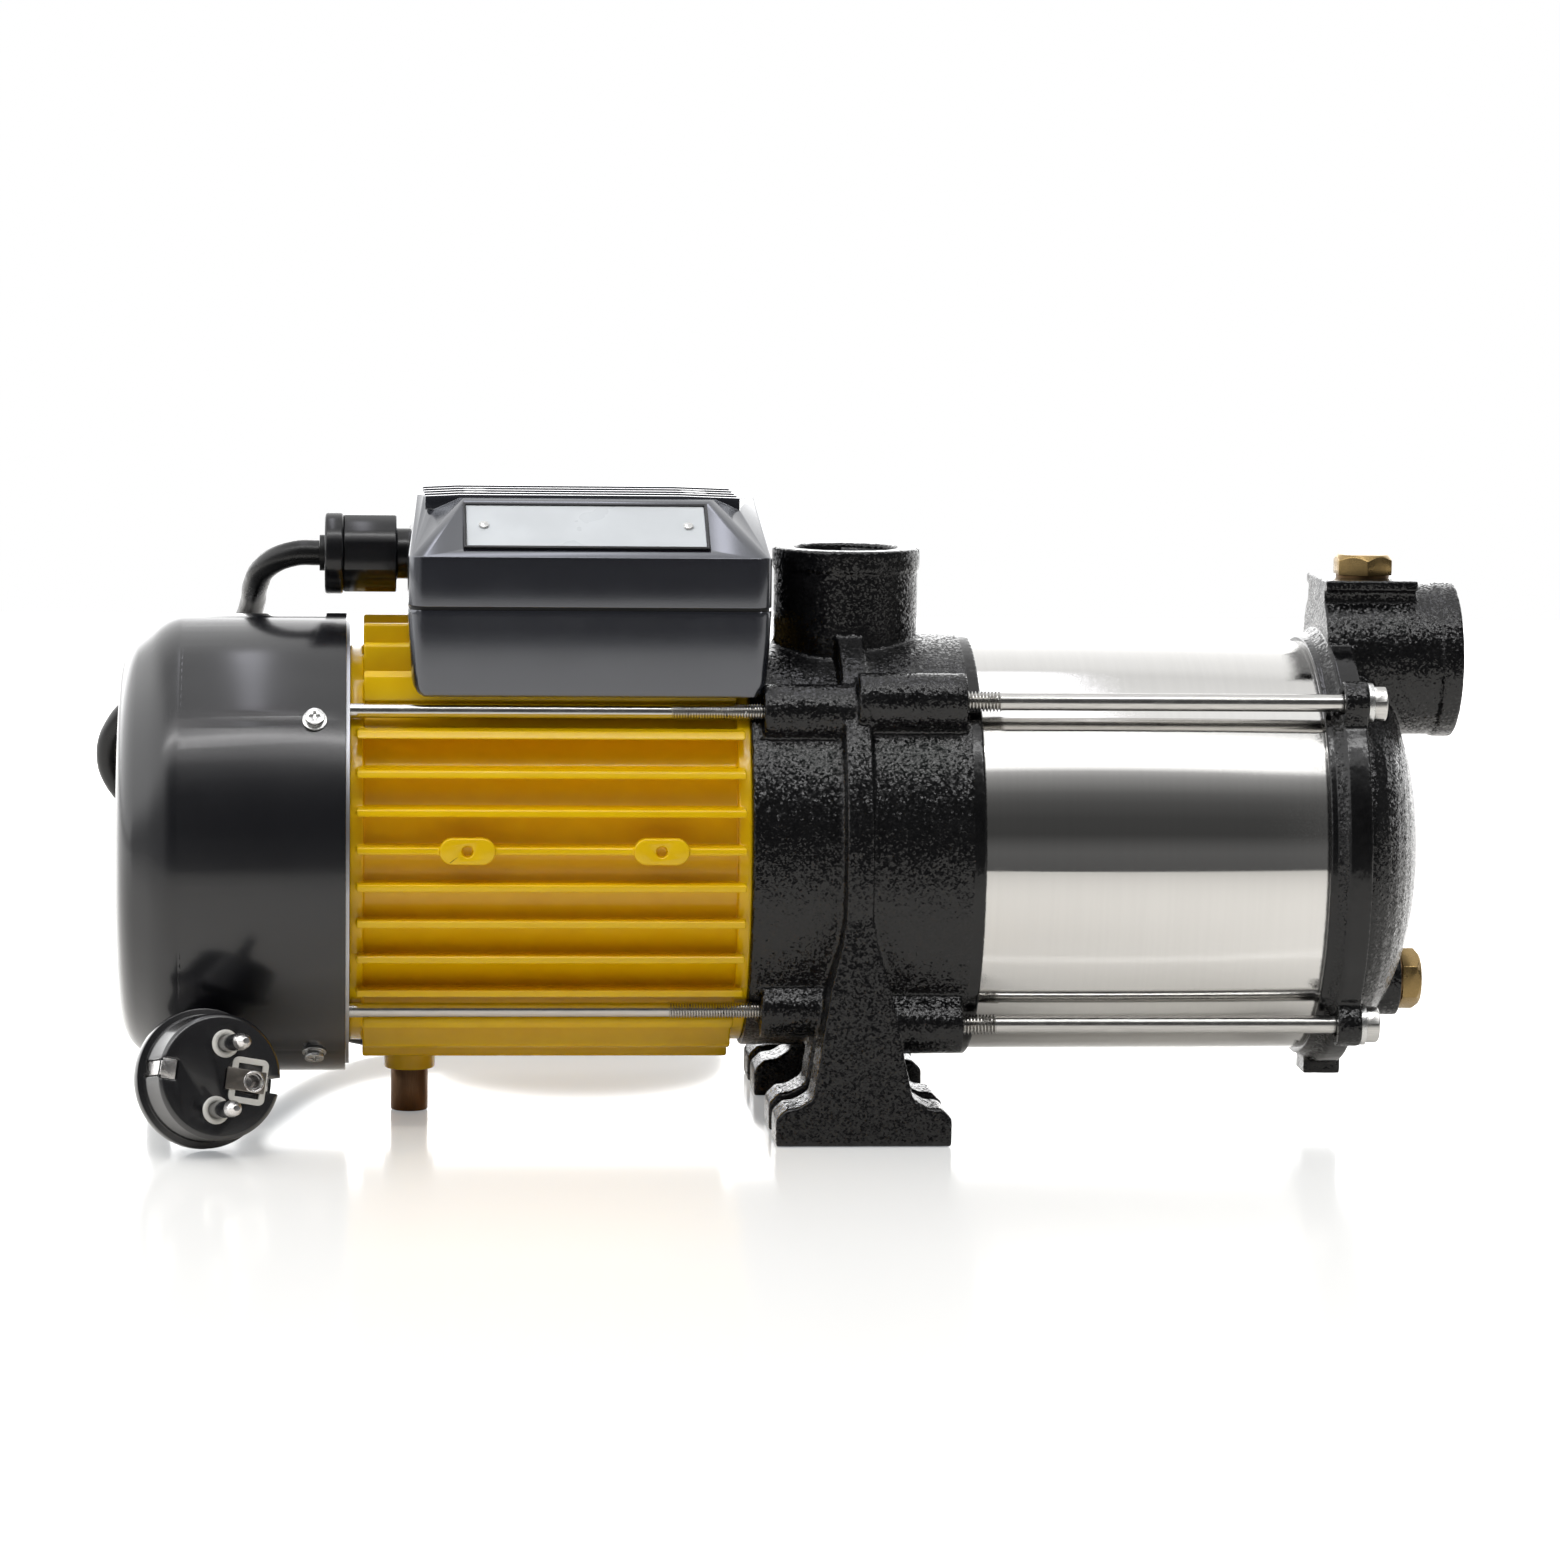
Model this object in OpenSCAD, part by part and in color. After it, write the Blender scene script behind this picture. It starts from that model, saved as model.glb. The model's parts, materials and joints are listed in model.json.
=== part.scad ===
// Horizontal multistage pump with its motor, terminal box, mains lead and plug.
// The origin is on the floor under the middle of the bracket's feet.
// +X runs along the shaft towards the suction port, +Z points up.

/* [Overall] */
// Height of the shaft axis above the floor
axis_h = 80; // [76:1:88]
// Radial clearance where one fixed piece sits in another
fit = 0.1; // [0.05:0.01:0.15]
// Radial clearance of a running fit
run_fit = 0.05; // [0.02:0.01:0.1]

/* [Bracket] */
// Length of the bracket from the foot centre to the motor
bracket_motor_len = 32.5; // [32:0.5:36]
// Length of the bracket from the foot centre to the end of its pump drum
bracket_pump_len = 34.7; // [33:0.1:38]
// Radius of the drum on the motor side
drum_motor_r = 60; // [59:0.5:61.5]
// Radius of the drum on the pump side
drum_pump_r = 62.8; // [62.4:0.1:64]
// Wall of both drums
drum_wall = 6.5; // [5:0.5:7]
// Radius of the cross rib that carries the drums
rib_r = 66.8; // [65:0.1:69]
// Thickness of the cross rib
rib_t = 7.8; // [6:0.2:10]
// Place of the cross rib's middle along the shaft
rib_x = -2; // [-3:0.5:-1]
// Width over both feet
foot_span = 130.6; // [128:0.1:133]
// Length of a foot pad along the shaft
foot_len = 51; // [46:1:60]
// Thickness of a foot pad
foot_t = 11; // [9:0.5:13]
// Distance between the two rows of foot slots
slot_spacing = 86; // [82:1:90]
// Width of a foot slot
slot_w = 10; // [8:0.5:11]
// Gap between the two legs under the drum
leg_gap = 41; // [34:1:46]

/* [Ports] */
// Wall radius of the threaded ports
port_r = 15.15; // [13:0.05:16]
// Length of thread in a port
port_thread = 20; // [16:1:22]
// Outer radius of the discharge boss
outlet_r = 21.3; // [20.5:0.1:22]
// Height of the discharge face above the shaft axis
outlet_h = 88.5; // [84:0.5:94]
// Place of the discharge port along the shaft
outlet_x = -1.6; // [-3:0.1:0]
// Outer radius of the suction boss
inlet_r = 22.6; // [21:0.1:23.5]
// Height of the suction port above the shaft axis
inlet_h = 56; // [53:0.5:57]
// Length of the suction cover from the barrel joint to the suction face
cover_len = 45.8; // [45:0.1:50]
// Width of the raised collar on a port boss
collar_step = 0.6; // [0.5:0.1:1.3]
// Length of the raised collar on a port boss
collar_len = 6; // [5:0.5:8]

/* [Stages] */
// Number of pump stages
stage_count = 5; // [3:1:6]
// Length of one stage
stage_len = 20; // [19:0.5:23]
// Outer radius of the barrel
barrel_r = 61; // [60.8:0.1:61.2]
// Wall of the barrel
barrel_wall = 1.5; // [1:0.1:1.8]
// Depth of the joint groove that takes the end of the barrel
groove_depth = 4; // [3:0.5:5]
// Thickness of a barrel gasket
gasket_t = 1.5; // [1:0.1:2]
// Outer radius of an impeller
impeller_r = 50; // [40:1:52]
// Radius of an impeller's eye
eye_r = 17; // [15:0.5:19]
// Number of vanes in an impeller
vane_count = 6; // [4:1:8]

/* [Motor] */
// Length of the finned motor housing
housing_len = 115.5; // [112:0.5:130]
// Bore radius of the motor housing
housing_bore_r = 52; // [50:0.5:53]
// Outer radius of the housing under its fins
housing_r = 56.5; // [55.5:0.5:57]
// Radius of the housing's end rims
rim_r = 58.4; // [57.5:0.1:60]
// Width of an end rim
rim_t = 4; // [3:0.5:5]
// Reach of the side fins beyond the housing
side_fin_h = 7.9; // [5.5:0.1:8.3]
// Reach of the top fins beyond the housing
top_fin_h = 11.1; // [9.5:0.1:11.5]
// Reach of the bottom fins beyond the housing
bottom_fin_h = 6.9; // [5:0.1:8.3]
// Height between neighbouring side fins
side_fin_pitch = 10.7; // [10:0.1:11.5]
// Number of fins on each side
side_fin_count = 8; // [6:2:8]
// Thickness of a fin
fin_t = 2.2; // [1.6:0.1:3]
// Length of the stator core
stator_len = 60; // [50:1:62]
// Bore radius of the stator core
stator_bore_r = 31.5; // [30:0.5:34]
// Air gap between rotor and stator
air_gap = 0.5; // [0.3:0.1:0.8]
// Reach of the end windings beyond the stator core
winding_len = 18; // [12:1:19]
// Place of the motor's own support foot along the shaft, from the rear flange
motor_foot_inset = 18; // [14:1:26]
// Radius of the motor's support foot
motor_foot_r = 5.5; // [4.5:0.5:7]

/* [Fan cover] */
// Length of the fan cover
fan_cover_len = 66; // [64:1:76]
// Wall of the fan cover
fan_cover_wall = 2; // [1.5:0.1:2.2]
// Length of the cover's tapered end
taper_len = 15; // [10:1:18]
// Radius of the flat end of the cover
fan_cover_end_r = 57; // [54:1:60]
// Number of ring slots in the cover's grille
grille_rings = 4; // [3:1:4]
// Number of spokes across the grille
grille_spokes = 6; // [4:1:8]
// Radius of the cooling fan
fan_r = 54; // [46:1:56]
// Number of blades on the cooling fan
fan_blades = 7; // [5:1:9]

/* [Terminal box] */
// Length of the terminal box
box_len = 104.5; // [100:0.5:108]
// Width of the terminal box
box_w = 100; // [94:1:104]
// Wall of the terminal box
box_wall = 2.5; // [2:0.1:3]
// Depth of the box's lower edge below the reach of the top fins
box_low_drop = 22.6; // [18:0.2:25]
// Height of the joint between base and lid above the top fins
box_joint_rise = 5.4; // [4.6:0.1:8]
// Height of the upright band of the lid
lid_band_h = 15.4; // [13:0.2:18]
// Height of the lid from the joint to its ridge
lid_h = 28.6; // [27:0.2:34]
// Width of the flat ridge on the lid
ridge_w = 50; // [44:1:56]
// Height of the ribs on the ridge
lid_rib_h = 3; // [2:0.2:4]
// Number of ribs on the ridge
lid_rib_count = 5; // [4:1:6]
// Length of the nameplate
nameplate_len = 69; // [60:1:72]
// Width of the nameplate
nameplate_w = 20.5; // [16:0.5:22]

/* [Shaft and bearings] */
// Bore radius of the ball bearings
bearing_bore_r = 7.5; // [7.5:0.5:8]
// Outer radius of the ball bearings
bearing_r = 17.5; // [17.5:0.5:18.5]
// Width of the ball bearings
bearing_w = 11; // [10:0.5:12]
// Radius of a bearing ball
ball_r = 3; // [2.6:0.1:3.1]
// Number of balls in a bearing
ball_count = 8; // [6:1:9]
// Radius of the shaft inside the rotor
rotor_shaft_r = 9; // [8.5:0.5:11]
// Radius of the shaft inside the impellers
pump_shaft_r = 6; // [5:0.5:6.5]

/* [Tie bolts] */
// Distance of the pump's tie bolts from the shaft axis
pump_bolt_pcr = 66.8; // [66:0.1:69]
// Thread radius of the pump's tie bolts
pump_bolt_r = 2.95; // [2.4:0.05:3.1]
// Thread radius of the motor's tie bolts
motor_bolt_r = 2.45; // [1.9:0.05:2.5]

/* [Mains lead] */
// Diameter of the mains lead
cord_d = 7.5; // [6.5:0.1:8]
// Middle diameter of the coil of spare lead
coil_mid_d = 82; // [78:1:90]
// Turns in the coil of spare lead, with the last half turn at the far side
coil_turns = 3.5; // [1.5:1:3.5]
// Radius of the plug's face
plug_r = 18; // [17.5:0.5:19]
// Length of the plug from its face to its tail
plug_len = 46; // [42:1:52]
// Distance between the two pins
pin_spacing = 19; // [18:0.5:20]
// Radius of a pin
pin_r = 2.4; // [2:0.1:2.6]
// Length of a pin
pin_len = 19; // [16:1:20]

/* [Hidden] */
$fn = 72;
// Overrun of every cut
over = 1;
// Free space between a turning piece and a fixed one
run_gap = 1;

// Stations along the shaft
housing_x1 = -bracket_motor_len;
housing_x0 = housing_x1 - housing_len;
stator_mid_x = (housing_x0 + housing_x1) / 2;
bracket_x1 = bracket_pump_len;
stack_len = stage_count * stage_len;
cover_x0 = bracket_x1 + stack_len;
inlet_x = cover_x0 + cover_len;
cover_gap = 1;
side_fin_r = housing_r + side_fin_h;
top_fin_r = housing_r + top_fin_h;
bottom_fin_r = housing_r + bottom_fin_h;
fan_cover_step = 0.1;
fan_cover_r = top_fin_r - fan_cover_step;
fan_cover_x1 = housing_x0 - cover_gap;
fan_cover_x0 = fan_cover_x1 - fan_cover_len;

// Rear end shield
shield_r = fan_cover_r - fan_cover_wall - fit;
shield_rim_len = 15;
shield_rim_wall = 9;
shield_web_t = 5;
spigot_len = 3;
spigot_wall = 4;
shield_x0 = housing_x0 - shield_rim_len;
hub_wall = 4.5;
hub_lip = 3;
rear_bearing_x = shield_x0 - shield_web_t + hub_lip;
hub_lip_r = bearing_r - 3;

// Front bearing, in the bracket
front_bearing_x = housing_x1 + 1.5 * run_gap;
slinger_room = 10;
slinger_room_r = 15;
partition_x0 = front_bearing_x + bearing_w + slinger_room;
partition_x1 = rib_x + rib_t / 2 + 1.5 * run_gap;

// Bearings
ball_pitch_r = (bearing_bore_r + bearing_r) / 2;
race_lip = 1.7;
race_fit = 0.05;
cage_wall = 1.2;
cage_side = 0.55;

// Shaft
shaft_tail_r = 6;
shaft_neck_r = 7;
shaft_tail_len = 34;
shaft_x0 = rear_bearing_x - shaft_tail_len;
fan_seat_x1 = rear_bearing_x - 4;
thread_r = 5;
clip_t = 1;
clip_depth = 1;

// Cooling fan
fan_hub_r = 12;
fan_hub_len = 20;
fan_disc_t = 2;
fan_disc_r = 30;
fan_blade_t = 2;
fan_x1 = fan_seat_x1 - run_gap;
fan_x0 = fan_x1 - fan_hub_len;

// Fan cover
grille_hub_r = 14;
grille_slot_w = 5.5;
grille_bar_w = 3.5;
grille_spoke_w = 4;
end_round = 2;
cover_tab_len = 6;
cover_tab_w = 10;
cover_tab_h = 0.8;
screw_inset = 9;
// Angles of the cover's screws above the horizontal, two on each side
screw_angles = [38, -57, 142, 237];
screw_head_r = 2.8;
screw_head_h = 1.9;
screw_thread_r = 1.5;
screw_len = 9;
washer_r = 3.55;
washer_t = 0.6;
recess_w = 0.8;
recess_len = 3.2;
recess_depth = 1.1;

// Motor housing
// Places of the upright fins across the motor, as shares of the top fins' reach
upright_fin_shares = [-0.72, -0.5, -0.25, 0, 0.25, 0.5, 0.72];
pad_len = 16;
pad_w = 7.6;
pad_hole_r = 1.6;
pad_hole_depth = 3;
// Places of the round-ended pads along the housing, as shares of its length
pad_share = [0.29, 0.77];
bolt_notch_r = 3.2;
saddle_pad_len = 84;
saddle_pad_w = 42;
box_floor_gap = 0.2;
foot_boss_r = 7.5;
foot_boss_len = 4;
foot_screw_r = 2.5;
foot_screw_head_r = 4;
foot_recess = 6;
foot_screw_grip = 8;

// Stator, rotor
slot_count = 24;
stator_slot_w = 4;
stator_slot_depth = 12;
wire_fit = 0.2;
winding_r = housing_bore_r - 5;
winding_wall = 13;
bar_count = 20;
bar_r = 2;
bar_inset = 4;
end_ring_t = 8;
end_ring_wall = 9;
rotor_r = stator_bore_r - air_gap;

// Tie bolts
bolt_angles = [45, 135, 225, 315];
bolt_grip = 16;
shank_relief = 0.35;
thread_show = 10;
hole_fit = 0.35;
motor_head_r = 3.5;
motor_head_h = 3.5;
motor_head_room = 0.5;
motor_bolt_pcr = fan_cover_r - fan_cover_wall - motor_head_r - motor_head_room;
pump_head_flat = 10;
pump_head_h = 4;
pump_washer_r = 6;
pump_washer_t = 1.6;

// Bracket
boss_r = 8.2;
boss_root_r = 50;
boss_gap = 3.5;
leg_rise_h = 66;
// Half widths of a leg from the pad upwards, and the heights where they apply, both as shares
leg_half_shares = [0.74, 0.57, 0.475, 0.33, 0.2, 0.153];
leg_height_shares = [0.17, 0.21, 0.4, 0.7, 0.88, 1];
foot_round = 3;
slot_depth = 17;
slot_cut_h = 30;
foot_inner_y = leg_gap / 2;
chamber_inset = 9.8;
chamber_r = drum_pump_r - chamber_inset;
passage_len = 10;
passage_w = 24;
seal_pocket_r = 13;
seal_pocket_len = 6;
shaft_hole_fit = 1.2;
drip_hole_r = 4;
outlet_root_h = 45;

// Mechanical seal
seal_ring_r = 12;
seal_ring_len = 6;
seal_wire_r = 0.8;
seal_spring_r = 10;
seal_spring_turns = 4;
seal_spring_len = 12;
slinger_r = 13;
slinger_t = 3;

// Stages
stage_gap = 0.1;
diffuser_r = barrel_r - barrel_wall - 4 * fit;
diffuser_wall = 2;
return_plate_r = 52;
return_plate_hole_r = 11.5;
// Places inside a stage along the shaft, as shares of its length, from the discharge side
return_share = 0.2;
impeller_back_share = 0.375;
impeller_front_share = 0.7;
hub_end_share = 0.85;
eye_end_share = 0.955;
shroud_t = 1.5;
impeller_hub_r = 10;
spacer_r = 9.5;
eye_fit = 0.6;
eye_wall = 1.8;
vane_t = 2;
vane_sweep = 60;
vane_steps = 8;
return_vanes = 6;
nut_len = 6;
nut_flat = 16;

// Suction cover
cover_ring_r = drum_pump_r;
cover_ring_len = 5;
flange_r = 62;
flange_t = 7;
flange_x1 = cover_x0 + cover_ring_len + flange_t;
ear_r = 9;
dome_r = 58;
dome_len = 23.7;
dome_steps = 10;
cover_wall = 7;
block_len = 27.5;
block_w = 34;
block_h = 80.5;
block_lip_h = 3;
block_lip_w = 3;
lug_reach = 3.3;
lug_len = 11;
lug_w = 14;
lug_h = 68.6;
prime_reach = 18.8;
prime_x = cover_x0 + prime_reach;
plug_thread_r = 5.75;
plug_hex_flat = 16;
plug_hex_h = 6;
plug_washer_r = 7.9;
plug_washer_t = 0.8;
plug_grip = 9;
drain_h = 40.7;
drain_boss_r = 11;
drain_reach = 31.8;
drain_boss_x = cover_x0 + drain_reach;

// Terminal box
box_low_h = top_fin_r - box_low_drop;
box_joint_h = top_fin_r + box_joint_rise;
box_x1 = housing_x1 + 5.5;
box_x0 = box_x1 - box_len;
box_mid_x = (box_x0 + box_x1) / 2;
box_corner_r = 5;
box_taper = 2;
gasket_seam = 1;
ridge_inset_x = 16;
ridge_end_inset = 3;
ridge_end_w = 16;
lid_rib_t = 2.4;
lid_rib_inset = 5;
lid_rib_slope_len = 10;
box_screw_r = 2;
box_screw_head_r = 3.5;
box_screw_head_h = 2.5;
box_post_r = 4;
slope_angle = atan2(lid_h - lid_band_h, (box_w - ridge_w) / 2);
plate_t = 0.6;
plate_frame = 1.2;
plate_recess = 0.4;
// Place of the nameplate up the sloped face, as a share of the slope's length
plate_share = 0.52;
plate_shift = -1;
rivet_r = 1.5;
rivet_h = 0.6;
rivet_inset = 5;
capacitor_r = 12;
capacitor_room = 46.5;
capacitor_len = box_len - capacitor_room;
capacitor_y = 15;
block_terminal_len = 44;
block_terminal_w = 20;
block_terminal_h = 15;
block_terminal_y = -16;
terminal_hole_r = 2.2;
terminal_pitch = 12;

// Cable gland
gland_rise = 12.7;
gland_h = box_joint_h + gland_rise;
gland_neck_r = 7.5;
gland_neck_len = 3;
gland_hex_flat = 21.6;
gland_hex_len = 15.5;
gland_nut_r = 12;
gland_nut_len = 5.5;
gland_stub_len = 10;
gland_bore_fit = 0.8;
gland_lip = 1.5;
gland_x = box_x0;
gland_end_x = gland_x - gland_neck_len - gland_hex_len - gland_nut_len - gland_lip;

// Plug
plug_yaw = 19.5;
plug_lift = 11;
plug_roll = -12;
plug_flange_r = 20;
plug_flange_t = 3.5;
plug_face_h = 15;
plug_waist_r = 14;
plug_tail_r = 5.5;
plug_neck_len = 14;
plug_x = -184;
plug_y = -80;
pin_tip_share = 0.75;
pin_seat = 8;
clip_w = 4;
clip_plate_t = 1;
clip_fold_len = 4;
clip_fold_w = 5.8;
earth_socket_r = 2.5;
earth_offset = 9.5;
plug_notch_w = 4.6;
// Side and depth of the two notches for the earth strips
plug_notches = [[-1, 1.2], [1, 4.8]];
clip_seat_r = plug_r - plug_notches[0][1];
// Height that lets the tilted plug rest on its rim
plug_z = plug_flange_r * cos(plug_lift) + (plug_face_h + plug_flange_t) * sin(plug_lift);

// Route of the lead from the gland down behind the fan cover to the coil, in round numbers
lead_points = [
    [-157, 0, 165.7], [-164, 0, 165.5], [-172, 4, 162], [-176, 15, 155], [-177, 28, 149],
    [-180, 41, 141], [-188, 53, 132], [-199, 62, 124], [-210.5, 68, 116], [-219, 72, 107.5],
    [-222.2, 75.5, 98], [-219.4, 79, 88.2], [-211, 82.5, 79.5], [-200.5, 86, 69],
    [-192.5, 89, 55.5], [-186.5, 92, 41], [-178.5, 95.5, 26.5], [-166, 99, 15],
    [-150, 102.4, 7.6], [-131, 105.2, 4.2], [-108, 106.7, 3.75], [-82.5, 106.8, 3.75]
];
// Route of the tail from the coil under the fan cover to the plug, in round numbers
tail_points = [
    [-82.5, 203.2, 11.9], [-98, 203, 9.6], [-112, 202.2, 5.6], [-126, 200, 3.8],
    [-141, 195, 3.75], [-156, 186, 3.75], [-170, 173, 3.75], [-181, 157, 3.75],
    [-189, 138, 3.75], [-194, 117, 3.75], [-197, 95, 3.75], [-199.5, 72, 3.75],
    [-201.5, 49, 3.75], [-203.3, 27, 3.9], [-204.2, 9, 5], [-204.2, -7, 7.7],
    [-203, -21, 10.7], [-201.2, -31.4, 13.2], [-199.1, -37.4, 14.4]
];
coil_centre = [-75, 155, 3.75];

// Axis helpers
module along_x(x, y = 0, h = 0) translate([x, y, axis_h + h]) rotate([0, 90, 0]) children();

module disc_x(x0, x1, r, y = 0, h = 0) along_x(x0, y, h) cylinder(h = x1 - x0, r = r);

module ring_x(x0, x1, r, bore) along_x(x0) difference() {
    cylinder(h = x1 - x0, r = r);
    translate([0, 0, -over]) cylinder(h = x1 - x0 + 2 * over, r = bore);
}

module block(x0, x1, w, h0, h1) translate([x0, -w / 2, axis_h + h0])
    cube([x1 - x0, w, h1 - h0]);

module hex(h, flat) cylinder(h = h, r = flat / sqrt(3), $fn = 6);

module at_bolts(pcr) for (a = bolt_angles) translate([0, pcr * cos(a), pcr * sin(a)]) children();

function spiral_offset(a, r) = [r * cos(a), r * sin(a)];

// Ball bearing
module bearing_outer(x) ring_groove(x, ball_pitch_r + race_lip, bearing_r);

module bearing_inner(x) ring_groove(x, bearing_bore_r + race_fit, ball_pitch_r - race_lip);

module ring_groove(x, bore, r) along_x(x) rotate_extrude() difference() {
    translate([bore, 0]) square([r - bore, bearing_w]);
    translate([ball_pitch_r, bearing_w / 2]) circle(r = ball_r + race_fit);
}

module bearing_balls(x) along_x(x + bearing_w / 2) for (i = [0 : ball_count - 1])
    rotate([0, 0, i * 360 / ball_count]) translate([ball_pitch_r, 0, 0]) sphere(r = ball_r);

module bearing_cage(x) along_x(x + bearing_w / 2) difference() {
    cage_half = ball_r + race_fit + cage_side;
    translate([0, 0, -cage_half]) cylinder(h = 2 * cage_half, r = ball_pitch_r + cage_wall / 2);
    translate([0, 0, -cage_half - over])
        cylinder(h = 2 * cage_half + 2 * over, r = ball_pitch_r - cage_wall / 2);
    for (i = [0 : ball_count - 1]) rotate([0, 90, i * 360 / ball_count])
        cylinder(h = bearing_r, r = ball_r + race_fit);
}

module rear_bearing_outer() color("silver") bearing_outer(rear_bearing_x);
module rear_bearing_inner() color("silver") bearing_inner(rear_bearing_x);
module rear_bearing_balls() color("gainsboro") bearing_balls(rear_bearing_x);
module rear_bearing_cage() color("darkgray") bearing_cage(rear_bearing_x);
module front_bearing_outer() color("silver") bearing_outer(front_bearing_x);
module front_bearing_inner() color("silver") bearing_inner(front_bearing_x);
module front_bearing_balls() color("gainsboro") bearing_balls(front_bearing_x);
module front_bearing_cage() color("darkgray") bearing_cage(front_bearing_x);

// Fan cover with its grille
module cover_profile(inset) {
    r = fan_cover_r - inset;
    x0 = fan_cover_x0 + inset;
    polygon([
        [0, x0], [fan_cover_end_r - end_round - inset / 2, x0],
        [fan_cover_end_r - inset / 2, x0 + end_round],
        [r - end_round, fan_cover_x0 + taper_len - end_round],
        [r, fan_cover_x0 + taper_len + end_round],
        [r, fan_cover_x1 + (inset > 0 ? over : 0)], [0, fan_cover_x1 + (inset > 0 ? over : 0)]
    ]);
}

module cover_solid(inset) translate([0, 0, axis_h]) rotate([0, 90, 0]) rotate_extrude()
    cover_profile(inset);

module grille_cut() difference() {
    for (i = [0 : grille_rings - 1]) {
        r0 = grille_hub_r + i * (grille_slot_w + grille_bar_w);
        ring_x(fan_cover_x0 - over, fan_cover_x0 + fan_cover_wall + over, r0 + grille_slot_w, r0);
    }
    for (i = [0 : grille_spokes / 2 - 1]) translate([fan_cover_x0, 0, axis_h])
        rotate([i * 360 / grille_spokes, 0, 0])
            cube([4 * fan_cover_wall + 4 * over, 2 * fan_cover_r, grille_spoke_w], center = true);
}

module at_cover_screws() translate([fan_cover_x1 - screw_inset, 0, axis_h])
    for (a = screw_angles) rotate([-a, 0, 0]) translate([0, -fan_cover_r, 0])
        rotate([90, 0, 0]) children();

module fan_cover() color("#24272c") difference() {
    union() {
        cover_solid(0);
        block(fan_cover_x1 - cover_tab_len, fan_cover_x1, cover_tab_w, fan_cover_r - fan_cover_wall,
            fan_cover_r + cover_tab_h);
    }
    cover_solid(fan_cover_wall);
    grille_cut();
    at_cover_screws() translate([0, 0, -fan_cover_wall - over])
        cylinder(h = fan_cover_wall + 2 * over, r = screw_thread_r + hole_fit);
}

module fan_cover_washers() color("silver") at_cover_screws() difference() {
    cylinder(h = washer_t, r = washer_r);
    translate([0, 0, -over]) cylinder(h = washer_t + 2 * over, r = screw_thread_r + hole_fit);
}

module fan_cover_screws() color("silver") at_cover_screws() difference() {
    union() {
        translate([0, 0, washer_t]) cylinder(h = screw_head_h, r = screw_head_r);
        translate([0, 0, washer_t - screw_len]) cylinder(h = screw_len, r = screw_thread_r);
    }
    for (a = [0, 90]) rotate([0, 0, a])
        translate([-recess_w / 2, -recess_len / 2, washer_t + screw_head_h - recess_depth])
            cube([recess_w, recess_len, recess_depth + over]);
}

module cooling_fan() color("#3a3f45") difference() {
    union() {
        disc_x(fan_x0, fan_x1, fan_hub_r);
        disc_x(fan_x1 - fan_disc_t, fan_x1, fan_disc_r);
        for (i = [0 : fan_blades - 1]) translate([fan_x0 + fan_disc_t / 2, 0, axis_h])
            rotate([(i + 1 / 4) * 360 / fan_blades, 0, 0])
                translate([0, -fan_blade_t / 2, fan_hub_r - fan_blade_t])
                    cube([fan_hub_len - fan_disc_t, fan_blade_t, fan_r - fan_hub_r + fan_blade_t]);
    }
    disc_x(fan_x0 - over, fan_x1 + over, shaft_tail_r + race_fit);
}

module fan_clip() color("silver") difference() {
    ring_x(fan_x0 - clip_t, fan_x0, shaft_tail_r + 2 * clip_depth, shaft_tail_r - clip_depth + fit);
    translate([fan_x0 - clip_t - over, -shaft_tail_r / 2, axis_h])
        cube([clip_t + 2 * over, shaft_tail_r, 3 * shaft_tail_r]);
}

// Rear end shield
module rear_end_shield() color("#b8bcc0") difference() {
    union() {
        ring_x(shield_x0, housing_x0, shield_r, shield_r - shield_rim_wall);
        disc_x(shield_x0, shield_x0 + shield_web_t, shield_r - shield_rim_wall / 2);
        disc_x(rear_bearing_x - hub_lip, rear_bearing_x + bearing_w + hub_lip, bearing_r + hub_wall);
        ring_x(housing_x0 - shield_web_t, housing_x0 + spigot_len, housing_bore_r - fit,
            housing_bore_r - fit - spigot_wall);
        ring_x(housing_x0 - shield_web_t, housing_x0, shield_r - shield_rim_wall / 2,
            housing_bore_r - fit - spigot_wall);
    }
    disc_x(rear_bearing_x, rear_bearing_x + bearing_w + hub_lip + over, bearing_r + race_fit);
    disc_x(rear_bearing_x - hub_lip - over, rear_bearing_x + over, hub_lip_r);
    at_bolts(motor_bolt_pcr) disc_x(shield_x0 - over, housing_x0 + over, motor_bolt_r + hole_fit);
    at_cover_screws() translate([0, 0, -fan_cover_wall - screw_len])
        cylinder(h = screw_len + fan_cover_wall, r = screw_thread_r + run_fit);
}

// Motor housing
module housing_fins() {
    intersection() {
        disc_x(housing_x0 + rim_t / 2, housing_x1 - rim_t / 2, side_fin_r);
        for (i = [0 : side_fin_count - 1])
            block(housing_x0, housing_x1, 2 * side_fin_r,
                (i - (side_fin_count - 1) / 2) * side_fin_pitch - fin_t / 2,
                (i - (side_fin_count - 1) / 2) * side_fin_pitch + fin_t / 2);
    }
    for (s = upright_fin_shares) intersection() {
        union() {
            intersection() {
                disc_x(housing_x0 + rim_t, housing_x1 - rim_t, top_fin_r);
                block(housing_x0, housing_x1, 3 * top_fin_r, box_low_h, top_fin_r);
            }
            intersection() {
                disc_x(housing_x0 + rim_t, housing_x1 - rim_t, bottom_fin_r);
                block(housing_x0, housing_x1, 3 * top_fin_r, -top_fin_r, -box_low_h);
            }
        }
        translate([housing_x0, s * housing_r - fin_t / 2, 0])
            cube([housing_len, fin_t, 2 * axis_h]);
    }
}

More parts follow.
